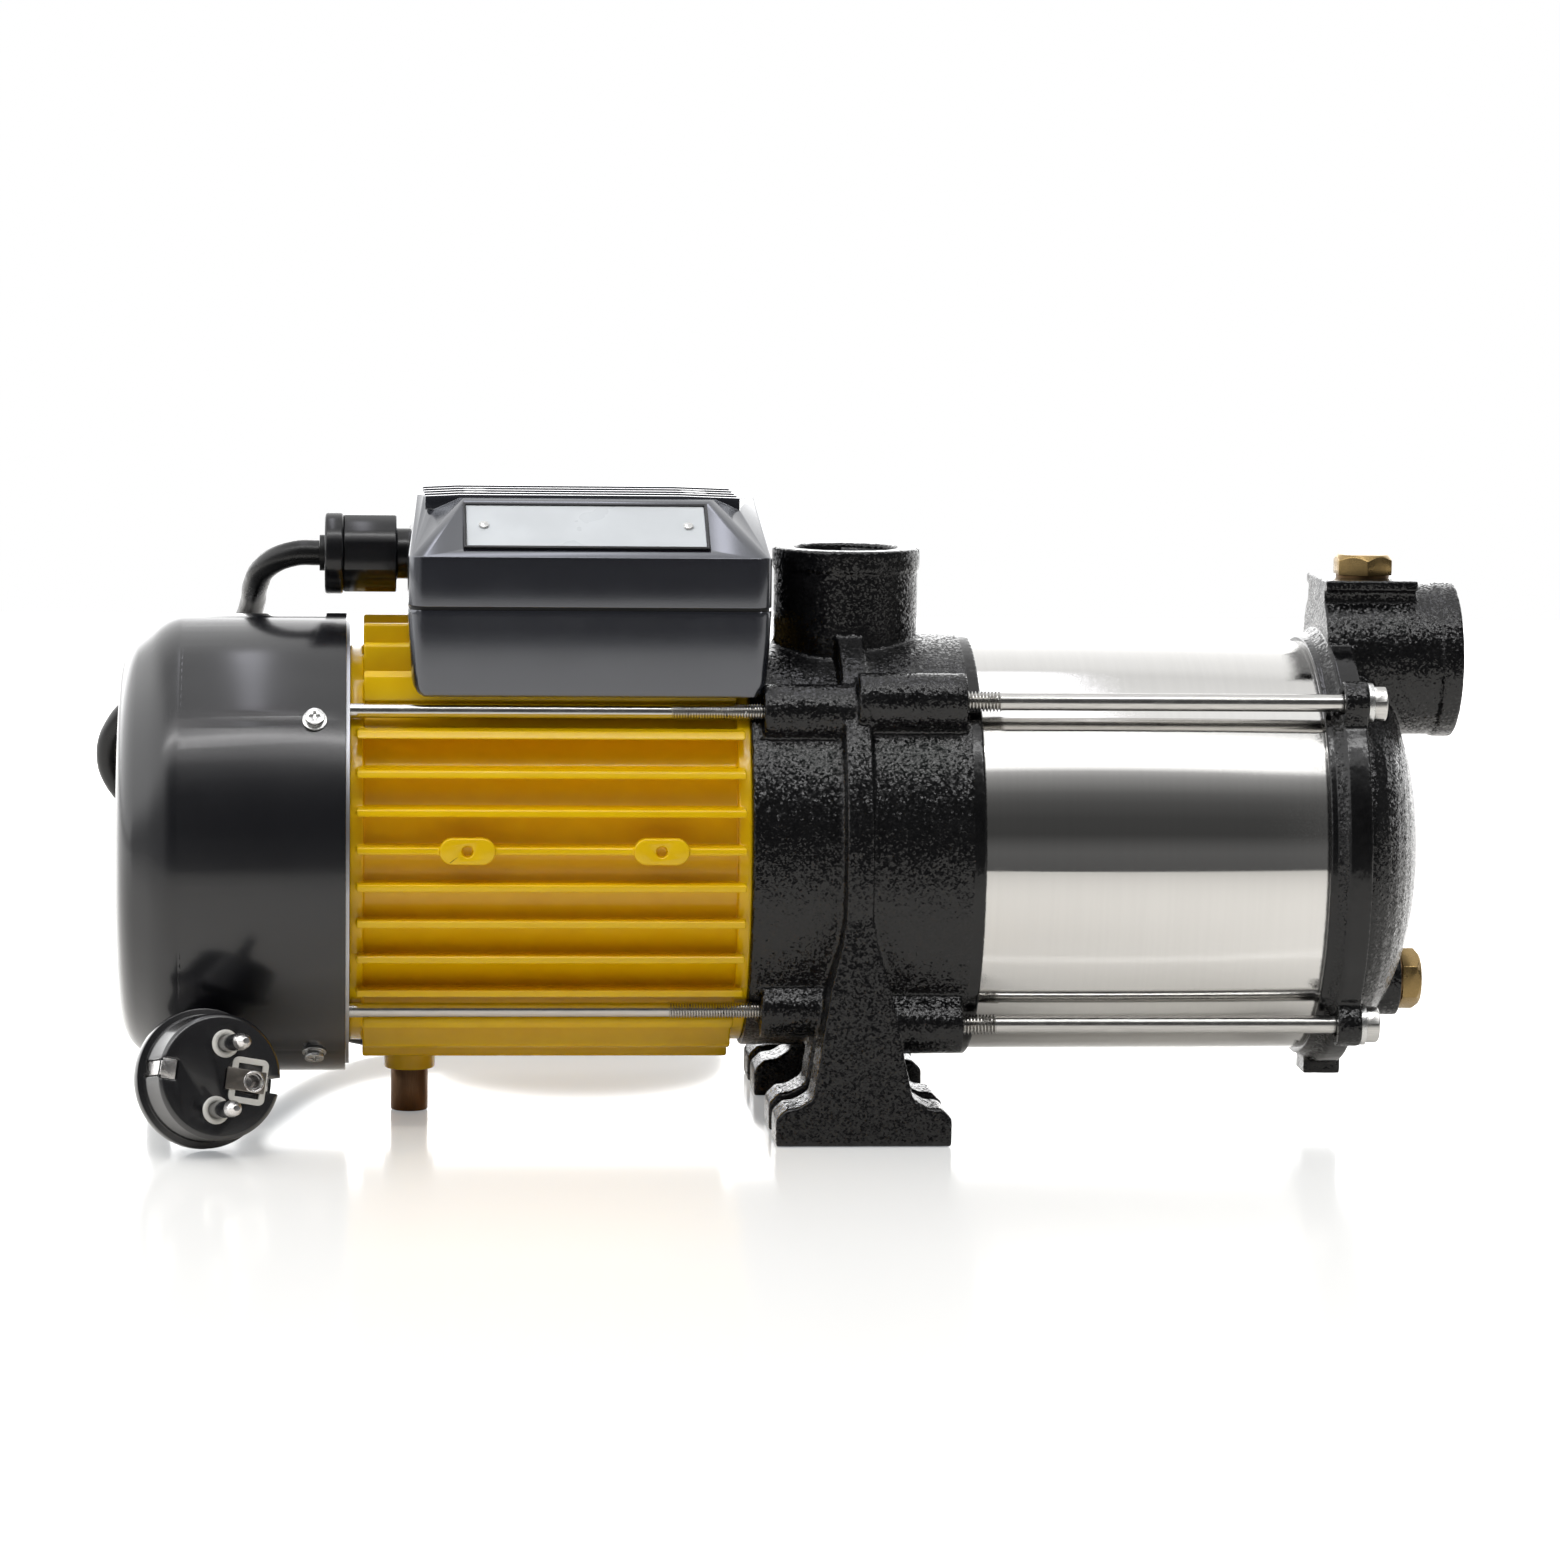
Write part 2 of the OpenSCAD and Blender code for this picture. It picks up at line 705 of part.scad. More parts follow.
module fin_pads(side) for (share = pad_share)
    translate([housing_x0 + share * housing_len, side * (side_fin_r - pad_hole_depth),
        axis_h + side_fin_pitch / 2]) rotate([-90 * side, 0, 0]) {
            for (dx = [-1, 1]) translate([dx * (pad_len - pad_w) / 2, 0, 0])
                cylinder(h = pad_hole_depth + plate_t, r = pad_w / 2);
            translate([-(pad_len - pad_w) / 2, -pad_w / 2, 0])
                cube([pad_len - pad_w, pad_w, pad_hole_depth + plate_t]);
        }

module motor_housing() color("#e4c119") difference() {
    union() {
        ring_x(housing_x0, housing_x1, housing_r, housing_bore_r);
        ring_x(housing_x0, housing_x0 + rim_t, rim_r, housing_bore_r);
        ring_x(housing_x1 - rim_t, housing_x1, rim_r, housing_bore_r);
        difference() {
            housing_fins();
            disc_x(housing_x0 - over, housing_x1 + over, (housing_r + housing_bore_r) / 2);
        }
        intersection() {
            block(box_mid_x - saddle_pad_len / 2, box_mid_x + saddle_pad_len / 2, saddle_pad_w,
                housing_r - fin_t, top_fin_r);
            disc_x(housing_x0, housing_x1, top_fin_r);
        }
        for (side = [-1, 1]) difference() {
            fin_pads(side);
            disc_x(housing_x0 - over, housing_x1 + over, (housing_r + housing_bore_r) / 2);
        }
        translate([housing_x0 + motor_foot_inset, 0, axis_h - bottom_fin_r - foot_boss_len])
            cylinder(h = bottom_fin_r + foot_boss_len - housing_r + 1.5 * fin_t, r = foot_boss_r);
    }
    at_bolts(motor_bolt_pcr) disc_x(housing_x0 - over, housing_x1 + over, bolt_notch_r);
    for (side = [-1, 1], share = pad_share)
        translate([housing_x0 + share * housing_len, side * (side_fin_r - pad_hole_depth / 2),
            axis_h + side_fin_pitch / 2]) rotate([-90 * side, 0, 0])
                cylinder(h = pad_hole_depth + over, r = pad_hole_r);
    translate([housing_x0 + motor_foot_inset, 0, axis_h - bottom_fin_r - foot_boss_len - over])
        cylinder(h = foot_screw_grip + over, r = foot_screw_r + run_fit);
}

foot_top_h = axis_h - bottom_fin_r - foot_boss_len;

module motor_foot() color("#7a583c") translate([housing_x0 + motor_foot_inset, 0, 0]) difference() {
    cylinder(h = foot_top_h, r = motor_foot_r);
    translate([0, 0, -over]) cylinder(h = foot_recess + over, r = foot_screw_head_r + fit);
    translate([0, 0, -over]) cylinder(h = foot_top_h + 2 * over, r = foot_screw_r + hole_fit);
}

module motor_foot_screw() color("silver") translate([housing_x0 + motor_foot_inset, 0, 0]) {
    translate([0, 0, foot_recess / 2]) cylinder(h = foot_recess / 2, r = foot_screw_head_r);
    translate([0, 0, foot_recess - fit])
        cylinder(h = foot_top_h + foot_screw_grip - foot_recess - over, r = foot_screw_r);
}

// Stator and rotor
module stator_slots(w, depth, x0, x1) for (i = [0 : slot_count - 1]) translate([x0, 0, axis_h])
    rotate([i * 360 / slot_count, 0, 0]) translate([0, -w / 2, stator_bore_r - over])
        cube([x1 - x0, w, depth + over]);

stator_x0 = stator_mid_x - stator_len / 2;
stator_x1 = stator_mid_x + stator_len / 2;

module stator_core() color("#5f6468") difference() {
    ring_x(stator_x0, stator_x1, housing_bore_r - run_fit, stator_bore_r);
    stator_slots(stator_slot_w, stator_slot_depth, stator_x0 - over, stator_x1 + over);
}

module stator_windings() color("#9a5428") {
    for (i = [0 : slot_count - 1]) translate([stator_x0 - over, 0, axis_h])
        rotate([i * 360 / slot_count, 0, 0])
            translate([0, -stator_slot_w / 2 + wire_fit, winding_r - winding_wall + wire_fit])
                cube([stator_len + 2 * over, stator_slot_w - 2 * wire_fit,
                    stator_bore_r + stator_slot_depth - winding_r + winding_wall - 2 * wire_fit]);
    ring_x(stator_x0 - winding_len, stator_x0 - wire_fit, winding_r, winding_r - winding_wall);
    ring_x(stator_x1 + wire_fit, stator_x1 + winding_len, winding_r, winding_r - winding_wall);
}

module rotor_bars(r, x0, x1) for (i = [0 : bar_count - 1]) translate([x0, 0, axis_h])
    rotate([i * 360 / bar_count, 0, 0]) translate([0, 0, rotor_r - bar_inset])
        rotate([0, 90, 0]) cylinder(h = x1 - x0, r = r);

module rotor_core() color("#6c7176") difference() {
    ring_x(stator_x0, stator_x1, rotor_r, rotor_shaft_r + run_fit);
    rotor_bars(bar_r, stator_x0 - over, stator_x1 + over);
}

module rotor_cage() color("#c3c7ca") {
    rotor_bars(bar_r - run_fit, stator_x0 - over, stator_x1 + over);
    for (x = [stator_x0 - end_ring_t, stator_x1])
        ring_x(x, x + end_ring_t, rotor_r - over, rotor_r - over - end_ring_wall);
}

front_seat_x1 = front_bearing_x + bearing_w + run_gap;
stack_x0 = bracket_x1;
nut_x0 = stack_x0 + (stage_count - 1 + hub_end_share) * stage_len;
shaft_step_x = partition_x1 + seal_ring_len + seal_spring_len;

module shaft() color("#aeb4b8") difference() {
    union() {
        disc_x(shaft_x0, fan_seat_x1, shaft_tail_r);
        disc_x(fan_seat_x1, rear_bearing_x + bearing_w, bearing_bore_r);
        disc_x(rear_bearing_x + bearing_w, front_bearing_x, rotor_shaft_r);
        disc_x(front_bearing_x, front_seat_x1, bearing_bore_r);
        disc_x(front_seat_x1, shaft_step_x, shaft_neck_r);
        disc_x(shaft_step_x, nut_x0, pump_shaft_r);
        disc_x(nut_x0, nut_x0 + nut_len + over, thread_r);
    }
    ring_x(fan_x0 - clip_t - fit, fan_x0 + fit, shaft_tail_r + over, shaft_tail_r - clip_depth);
}

// Tie bolts
motor_boss_x0 = -bracket_motor_len + boss_gap;
pump_boss_x1 = bracket_x1 - 1.5 * boss_gap;

module motor_tie_bolts() color("silver") at_bolts(motor_bolt_pcr) union() {
    disc_x(motor_boss_x0 - 2.5 * thread_show, motor_boss_x0 + bolt_grip - run_gap, motor_bolt_r);
    disc_x(shield_x0 - over, motor_boss_x0 - 2.5 * thread_show + over, motor_bolt_r - shank_relief / 2);
    disc_x(shield_x0 - motor_head_h, shield_x0, motor_head_r);
}

module pump_tie_bolts() color("silver") at_bolts(pump_bolt_pcr) union() {
    disc_x(pump_boss_x1 - bolt_grip + run_gap, pump_boss_x1 + thread_show, pump_bolt_r);
    disc_x(pump_boss_x1 + thread_show - over, flange_x1 + pump_washer_t + over,
        pump_bolt_r - shank_relief);
    along_x(flange_x1 + pump_washer_t) hex(pump_head_h, pump_head_flat);
}

module pump_tie_washers() color("silver") at_bolts(pump_bolt_pcr)
    ring_x(flange_x1, flange_x1 + pump_washer_t, pump_washer_r, pump_bolt_r + hole_fit);

// Pump bracket
module boss_x(x0, x1, pcr, r) for (a = bolt_angles) translate([0, 0, axis_h]) rotate([a - 90, 0, 0]) {
    translate([x0, 0, pcr]) rotate([0, 90, 0]) cylinder(h = x1 - x0, r = r);
    translate([x0, -r, boss_root_r]) cube([x1 - x0, 2 * r, pcr - boss_root_r]);
}

// Outline of a leg seen from the side: narrow under the rib, wide at the pad
module leg_outline() polygon(concat(
    [[-foot_len / 2, 0], [-foot_len / 2, foot_t - foot_round],
        [-foot_len / 2 + foot_round, foot_t]],
    [for (i = [0 : len(leg_half_shares) - 1])
        [rib_x * leg_height_shares[i] - leg_half_shares[i] * foot_len / 2,
            leg_height_shares[i] * leg_rise_h]],
    [for (i = [len(leg_half_shares) - 1 : -1 : 0])
        [rib_x * leg_height_shares[i] + leg_half_shares[i] * foot_len / 2,
            leg_height_shares[i] * leg_rise_h]],
    [[foot_len / 2 - foot_round, foot_t], [foot_len / 2, foot_t - foot_round],
        [foot_len / 2, 0]]));

module leg(side) translate([0, side > 0 ? foot_inner_y : -foot_span / 2, 0])
    translate([0, foot_span / 2 - foot_inner_y, 0]) rotate([90, 0, 0])
        linear_extrude(height = foot_span / 2 - foot_inner_y) leg_outline();

module foot_slots() for (sx = [-1, 1], sy = [-1, 1]) translate([0, sy * slot_spacing / 2, -over]) {
    translate([sx * (foot_len / 2 - slot_depth + slot_w / 2), 0, 0])
        cylinder(h = slot_cut_h, r = slot_w / 2);
    translate([sx > 0 ? foot_len / 2 - slot_depth + slot_w / 2 : -foot_len / 2 - over, -slot_w / 2, 0])
        cube([slot_depth - slot_w / 2 + over, slot_w, slot_cut_h]);
}

module bracket_solids() {
    disc_x(housing_x1, rib_x, drum_motor_r);
    disc_x(rib_x, bracket_x1, drum_pump_r);
    disc_x(rib_x - rib_t / 2, rib_x + rib_t / 2, rib_r);
    for (side = [-1, 1]) leg(side);
    boss_x(motor_boss_x0, rib_x, motor_bolt_pcr, boss_r);
    boss_x(rib_x, pump_boss_x1, pump_bolt_pcr, boss_r);
    translate([outlet_x, 0, axis_h + outlet_root_h]) cylinder(h = outlet_h - outlet_root_h, r = outlet_r);
    translate([outlet_x, 0, axis_h + outlet_h - collar_len])
        cylinder(h = collar_len, r = outlet_r + collar_step);
}

module pump_bracket() color("#1b1c1e") difference() {
    union() {
        difference() {
            bracket_solids();
            disc_x(housing_x1 - over, partition_x0 - slinger_room / 2, drum_motor_r - drum_wall);
            disc_x(partition_x1, bracket_x1 + over, chamber_r);
            translate([outlet_x, 0, axis_h + outlet_h - port_thread])
                cylinder(h = port_thread + over, r = port_r);
            block(partition_x1, partition_x1 + passage_len, passage_w, chamber_r - drum_wall,
                outlet_h - port_thread + over);
        }
        disc_x(housing_x1 + run_gap / 2, partition_x1, bearing_r + hub_wall);
    }
    disc_x(housing_x1 - over, front_bearing_x + bearing_w, bearing_r + race_fit);
    disc_x(front_bearing_x + bearing_w - over, partition_x0, slinger_room_r);
    disc_x(partition_x0 - over, partition_x1 + over, shaft_neck_r + shaft_hole_fit);
    disc_x(partition_x1 - seal_pocket_len, partition_x1 + over, seal_pocket_r);
    ring_x(bracket_x1 - groove_depth, bracket_x1 + over, barrel_r + fit, barrel_r - barrel_wall - fit);
    at_bolts(motor_bolt_pcr)
        disc_x(housing_x1 - over, motor_boss_x0 + bolt_grip, motor_bolt_r + run_fit);
    at_bolts(pump_bolt_pcr)
        disc_x(pump_boss_x1 - bolt_grip, pump_boss_x1 + over, pump_bolt_r + run_fit);
    foot_slots();
    translate([partition_x0 - slinger_room / 2, 0, axis_h - drum_motor_r - over])
        cylinder(h = drum_motor_r, r = drip_hole_r);
}

// Shaft seal
module water_slinger() color("#202020")
    ring_x(partition_x0 - slinger_room / 2 - slinger_t / 2, partition_x0 - slinger_room / 2 + slinger_t / 2,
        slinger_r, shaft_neck_r + race_fit);

module seal_stationary_ring() color("#d8d4cc")
    ring_x(partition_x1 - seal_pocket_len, partition_x1, seal_pocket_r - fit,
        shaft_neck_r + shaft_hole_fit);

module seal_rotating_ring() color("#3a3a3c")
    ring_x(partition_x1, partition_x1 + seal_ring_len, seal_ring_r, shaft_neck_r + race_fit);

// Helix of the spring: rings along its axis, from a formula
spring_rings = 12;
spring_sides = 6;

function spring_point(i) =
    let (t = i / (seal_spring_turns * spring_rings), a = 360 * seal_spring_turns * t)
    [seal_wire_r + t * (seal_spring_len - 2 * seal_wire_r), seal_spring_r * cos(a),
        seal_spring_r * sin(a)];

// Unbroken tube along a list of points
function unit(v) = v / norm(v);

function heading(p, i) = unit(p[min(i + 1, len(p) - 1)] - p[max(i - 1, 0)]);

function side_of(t) = unit(cross(t, abs(t[2]) > 0.9 ? [1, 0, 0] : [0, 0, 1]));

// The ring's frame is carried along the path, so that the tube does not twist
function carried(p, i, s) = let (t = heading(p, i)) unit(s - (s * t) * t);

function frames(p, i, s) = i >= len(p) ? [] :
    let (f = carried(p, i, s)) concat([f], frames(p, i + 1, f));

function ring_points(p, i, s, r, sides) = let (t = heading(p, i), b = cross(t, s))
    [for (k = [0 : sides - 1]) p[i] + r * (cos(360 * (k + 0.5) / sides) * s
        + sin(360 * (k + 0.5) / sides) * b)];

module swept_tube(p, r, sides) {
    f = frames(p, 0, side_of(heading(p, 0)));
    n = len(p);
    points = [for (i = [0 : n - 1]) each ring_points(p, i, f[i], r, sides)];
    walls = [for (i = [0 : n - 2], k = [0 : sides - 1]) each
        let (a = i * sides + k, b = i * sides + (k + 1) % sides)
        [[a, a + sides, b], [b, a + sides, b + sides]]];
    caps = concat(
        [for (k = [1 : sides - 2]) [0, k, k + 1]],
        [for (k = [1 : sides - 2]) [(n - 1) * sides, (n - 1) * sides + k + 1, (n - 1) * sides + k]]);
    polyhedron(points = points, faces = concat(walls, caps));
}

module seal_spring() color("silver")
    translate([partition_x1 + seal_ring_len, 0, axis_h])
        swept_tube([for (i = [0 : seal_spring_turns * spring_rings]) spring_point(i)], seal_wire_r,
            spring_sides);

// Barrel and gaskets
barrel_x0 = bracket_x1 - groove_depth + gasket_t;
barrel_x1 = cover_x0 + groove_depth - gasket_t;

module pump_barrel() color("#d5d8da") ring_x(barrel_x0, barrel_x1, barrel_r, barrel_r - barrel_wall);

module rear_barrel_gasket() color("#151515")
    ring_x(bracket_x1 - groove_depth, barrel_x0, barrel_r, barrel_r - barrel_wall);

module front_barrel_gasket() color("#151515")
    ring_x(barrel_x1, cover_x0 + groove_depth, barrel_r, barrel_r - barrel_wall);

// Stages
function stage_x(i) = stack_x0 + i * stage_len;

module stage_diffusers() color("#cfc9b8") for (i = [0 : stage_count - 1]) difference() {
    x = stage_x(i);
    union() {
        ring_x(x + stage_gap, x + stage_len, diffuser_r, diffuser_r - diffuser_wall);
        ring_x(x + stage_len - diffuser_wall, x + stage_len, diffuser_r, eye_r + eye_wall + eye_fit);
        ring_x(x + return_share * stage_len, x + return_share * stage_len + diffuser_wall,
            return_plate_r, return_plate_hole_r);
        for (k = [0 : return_vanes - 1]) translate([x + stage_gap, 0, axis_h])
            rotate([k * 360 / return_vanes, 0, 0])
                translate([0, -diffuser_wall / 2, return_plate_hole_r + diffuser_wall])
                    cube([return_share * stage_len + diffuser_wall / 2, diffuser_wall,
                        diffuser_r - return_plate_hole_r - 1.5 * diffuser_wall]);
    }
}

// Backward swept vane as a band of even thickness
module vane(r0, r1) polygon(concat(
    [for (k = [0 : vane_steps]) spiral_offset(vane_sweep * k / vane_steps,
        r0 + (r1 - r0) * k / vane_steps)],
    [for (k = [vane_steps : -1 : 0]) spiral_offset(vane_sweep * k / vane_steps,
        r0 + (r1 - r0) * k / vane_steps) + spiral_offset(
            vane_sweep * k / vane_steps + 135, vane_t)]));

module impellers() color("#d9c58a") for (i = [0 : stage_count - 1]) {
    x0 = stage_x(i) + impeller_back_share * stage_len;
    x1 = stage_x(i) + impeller_front_share * stage_len;
    ring_x(x0, x0 + shroud_t, impeller_r, pump_shaft_r + run_fit);
    ring_x(x0, stage_x(i) + hub_end_share * stage_len, impeller_hub_r, pump_shaft_r + run_fit);
    ring_x(x1, x1 + shroud_t, impeller_r, eye_r);
    ring_x(x1, stage_x(i) + eye_end_share * stage_len, eye_r + eye_wall, eye_r);
    along_x(x0 + shroud_t / 2) for (k = [0 : vane_count - 1]) rotate([0, 0, k * 360 / vane_count])
        linear_extrude(height = x1 - x0) vane(impeller_hub_r + vane_t, impeller_r - vane_t);
}

module impeller_spacers() color("silver") {
    for (i = [1 : stage_count - 1])
        ring_x(stage_x(i) - (1 - hub_end_share) * stage_len, stage_x(i) + impeller_back_share * stage_len,
            spacer_r, pump_shaft_r + run_fit);
    ring_x(shaft_step_x, stack_x0 + impeller_back_share * stage_len, spacer_r, pump_shaft_r + run_fit);
}

module impeller_nut() color("#b5a05a") difference() {
    along_x(nut_x0) hex(nut_len, nut_flat);
    disc_x(nut_x0 - over, nut_x0 + nut_len + over, thread_r + run_fit);
}

// Suction cover
dome_points = [for (k = [0 : dome_steps]) [dome_r * cos(90 * k / dome_steps),
    dome_len * sin(90 * k / dome_steps)]];

module dome(x, inset) along_x(x) rotate_extrude()
    polygon(concat([[0, 0]], [for (p = dome_points) [p[0] * (1 - inset / dome_r),
        p[1] * (1 - inset / dome_len)]]));

module suction_cover() color("#1b1c1e") difference() {
    union() {
        disc_x(cover_x0, cover_x0 + cover_ring_len + over, cover_ring_r);
        disc_x(cover_x0 + cover_ring_len, flange_x1, flange_r);
        boss_x(cover_x0 + cover_ring_len, flange_x1, pump_bolt_pcr, ear_r);
        dome(flange_x1 - over, 0);
        disc_x(cover_x0 + cover_ring_len, inlet_x, inlet_r, 0, inlet_h);
        disc_x(inlet_x - collar_len, inlet_x, inlet_r + collar_step, 0, inlet_h);
        block(cover_x0 + cover_ring_len, cover_x0 + cover_ring_len + block_len, block_w - 2 * block_lip_w,
            inlet_h - inlet_r / 2, block_h - block_lip_h / 2);
        block(cover_x0 + cover_ring_len, cover_x0 + cover_ring_len + block_len, block_w,
            block_h - block_lip_h, block_h);
        block(cover_x0 + lug_reach, cover_x0 + lug_reach + lug_len, lug_w, -lug_h, -dome_r);
        disc_x(flange_x1 - over, drain_boss_x, drain_boss_r, 0, -drain_h);
    }
    disc_x(cover_x0 - over, flange_x1 - cover_wall / 2, diffuser_r - 1.5 * cover_wall);
    dome(flange_x1 - cover_wall / 2 - over, cover_wall);
    ring_x(cover_x0 - over, cover_x0 + groove_depth, barrel_r + fit, barrel_r - barrel_wall - fit);
    disc_x(inlet_x - port_thread, inlet_x + over, port_r, 0, inlet_h);
    disc_x(cover_x0 + cover_ring_len + cover_wall / 2, inlet_x - port_thread + over,
        port_r - run_gap, 0, inlet_h);
    block(cover_x0 + cover_ring_len + cover_wall / 2, cover_x0 + cover_ring_len + cover_wall / 2
        + passage_len, passage_w, inlet_h - 1.5 * port_r, inlet_h);
    at_bolts(pump_bolt_pcr) disc_x(cover_x0, flange_x1 + over, pump_bolt_r + hole_fit);
    translate([prime_x, 0, axis_h + inlet_h]) cylinder(h = block_h - inlet_h + over, r = plug_thread_r);
    disc_x(cover_x0 + cover_ring_len, drain_boss_x + over, plug_thread_r, 0, -drain_h);
}

// Screwed plugs, modelled along +Z with the seat at zero
module screw_plug() difference() {
    union() {
        translate([0, 0, -plug_grip]) cylinder(h = plug_grip + plug_washer_t + over,
            r = plug_thread_r - run_fit);
        translate([0, 0, plug_washer_t]) intersection() {
            hex(plug_hex_h, plug_hex_flat);
            rotate_extrude() polygon([
                [0, 0], [plug_hex_flat, 0], [plug_hex_flat / 2 + collar_step, plug_hex_h * 0.8],
                [plug_hex_flat / 2 - collar_step, plug_hex_h], [0, plug_hex_h]
            ]);
        }
    }
    translate([0, 0, -plug_grip - over]) cylinder(h = plug_grip, r = plug_thread_r / 2);
}

module screw_washer() difference() {
    cylinder(h = plug_washer_t, r = plug_washer_r);
    translate([0, 0, -over]) cylinder(h = plug_washer_t + 2 * over, r = plug_thread_r);
}

module priming_plug() color("#a98a4c") translate([prime_x, 0, axis_h + block_h]) rotate([0, 0, 30])
    screw_plug();
module priming_plug_washer() color("#8d5a35") translate([prime_x, 0, axis_h + block_h]) screw_washer();
module drain_plug() color("#c0a060") along_x(drain_boss_x, 0, -drain_h) screw_plug();
module drain_plug_washer() color("#8d5a35") along_x(drain_boss_x, 0, -drain_h) screw_washer();

// Terminal box
module box_outline() for (sx = [-1, 1], sy = [-1, 1])
    translate([box_mid_x + sx * (box_len / 2 - box_corner_r), sy * (box_w / 2 - box_corner_r), 0])
        children();

module base_form(inset) hull() {
    box_outline() translate([0, 0, axis_h + box_joint_h - fit + (inset > 0 ? over : 0)])
        cylinder(h = fit, r = box_corner_r - inset, $fn = 32);
    box_outline() translate([0, 0, axis_h + box_low_h + box_taper + inset])
        cylinder(h = fit, r = box_corner_r - box_taper / 2 - inset, $fn = 32);
    box_outline() translate([0, 0, axis_h + box_low_h + inset])
        cylinder(h = fit, r = box_corner_r - box_taper - inset, $fn = 32);
}

saddle_r = top_fin_r + box_floor_gap;

module terminal_box_base() color("#26292e") difference() {
    base_form(0);
    difference() {
        base_form(box_wall);
        disc_x(box_x0 - over, box_x1 + over, saddle_r + box_wall);
        at_box_screws() translate([0, 0, axis_h + box_low_h])
            cylinder(h = box_joint_h - box_low_h, r = box_post_r);
    }
    disc_x(box_x0 - over, box_x1 + over, saddle_r);
    at_box_screws() translate([0, 0, axis_h + saddle_r + box_wall / 2])
        cylinder(h = box_joint_h, r = box_screw_r + run_fit);
}

module at_box_screws() for (sx = [-1, 1], sy = [-1, 1])
    translate([box_mid_x + sx * (box_len / 2 - ridge_inset_x - box_post_r), sy * ridge_w / 9, 0]) children();

module terminal_box_gasket() color("#101010") difference() {
    hull() box_outline() translate([0, 0, axis_h + box_joint_h])
        cylinder(h = gasket_seam, r = box_corner_r - box_wall / 4, $fn = 32);
    hull() box_outline() translate([0, 0, axis_h + box_joint_h - over])
        cylinder(h = gasket_seam + 2 * over, r = box_corner_r - box_wall, $fn = 32);
}

lid_z0 = axis_h + box_joint_h + gasket_seam;

module lid_form(inset) hull() {
    box_outline() translate([0, 0, inset > 0 ? lid_z0 - over : lid_z0])
        cylinder(h = lid_band_h - gasket_seam - inset / 2 + (inset > 0 ? over : 0),
            r = box_corner_r - inset, $fn = 32);
    translate([box_x0 + ridge_inset_x + inset, -ridge_w / 2 + inset / 2, lid_z0])
        cube([box_len - 2 * ridge_inset_x - 2 * inset, ridge_w - inset, lid_h - gasket_seam - inset]);
    translate([box_x0 + ridge_end_inset + inset, -ridge_end_w / 2, lid_z0])
        cube([box_len - 2 * ridge_end_inset - 2 * inset, ridge_end_w, lid_h - gasket_seam - inset]);
}

module lid_rib(y) translate([0, y + lid_rib_t / 2, axis_h + box_joint_h + lid_h]) rotate([90, 0, 0])
    linear_extrude(height = lid_rib_t) polygon([
        [box_x0 + lid_rib_inset, -lid_rib_h], [box_x0 + lid_rib_inset, lid_rib_h / 2],
        [box_x0 + lid_rib_inset + lid_rib_slope_len, lid_rib_h],
        [box_x1 - lid_rib_inset - 2 * lid_rib_slope_len, lid_rib_h],
        [box_x1 - 1.6 * lid_rib_inset, lid_rib_h / 2], [box_x1 - 1.6 * lid_rib_inset, -lid_rib_h]
    ]);

// The sloped front face, with its own flat frame
module on_slope() translate([box_mid_x + plate_shift, -box_w / 2, axis_h + box_joint_h + lid_band_h])
    rotate([slope_angle, 0, 0])
        translate([0, plate_share * (box_w - ridge_w) / 2 / cos(slope_angle), 0]) children();

module centred_plate(len_x, len_y, t) translate([-len_x / 2, -len_y / 2, 0]) cube([len_x, len_y, t]);

module gland_hole(r) disc_x(gland_x - over, gland_x + 2 * box_wall + over, r, 0, gland_h);

module terminal_box_lid() color("#26292e") difference() {
    union() {
        lid_form(0);
        for (i = [0 : lid_rib_count - 1])
            lid_rib((i / (lid_rib_count - 1) - 0.5) * (ridge_w - 2 * lid_rib_t));
    }
    lid_form(box_wall);
    on_slope() translate([0, 0, -plate_recess])
        centred_plate(nameplate_len + plate_frame, nameplate_w + plate_frame, over);
    on_slope() for (dx = [-1, 1]) translate([dx * (nameplate_len / 2 - rivet_inset), 0, -over])
        cylinder(h = over, r = rivet_r / 2);
    gland_hole(gland_neck_r + fit);
    at_box_screws() translate([0, 0, lid_z0]) cylinder(h = lid_h, r = box_screw_r + hole_fit);
}

lid_top_h = box_joint_h + lid_h;

module terminal_box_screws() color("silver") at_box_screws() translate([0, 0, axis_h + lid_top_h])
    difference() {
        union() {
            cylinder(h = box_screw_head_h, r = box_screw_head_r);
            translate([0, 0, -lid_h - box_wall]) cylinder(h = lid_h + box_wall + fit, r = box_screw_r);
        }
        for (a = [0, 90]) rotate([0, 0, a])
            translate([-recess_w / 2, -recess_len / 2, box_screw_head_h - recess_depth])
                cube([recess_w, recess_len, recess_depth + over]);
    }

module nameplate() color("#d9dcde") on_slope() translate([0, 0, -plate_recess]) difference() {
    centred_plate(nameplate_len, nameplate_w, plate_t);
    for (dx = [-1, 1]) translate([dx * (nameplate_len / 2 - rivet_inset), 0, -over])
        cylinder(h = plate_t + 2 * over, r = rivet_r / 2);
}

module nameplate_rivets() color("silver") on_slope() for (dx = [-1, 1])
    translate([dx * (nameplate_len / 2 - rivet_inset), 0, plate_t - plate_recess]) {
        cylinder(h = rivet_h, r = rivet_r);
        translate([0, 0, -over]) cylinder(h = over + fit, r = rivet_r / 2 - run_fit);
    }

block_seat_h = saddle_r + box_wall;

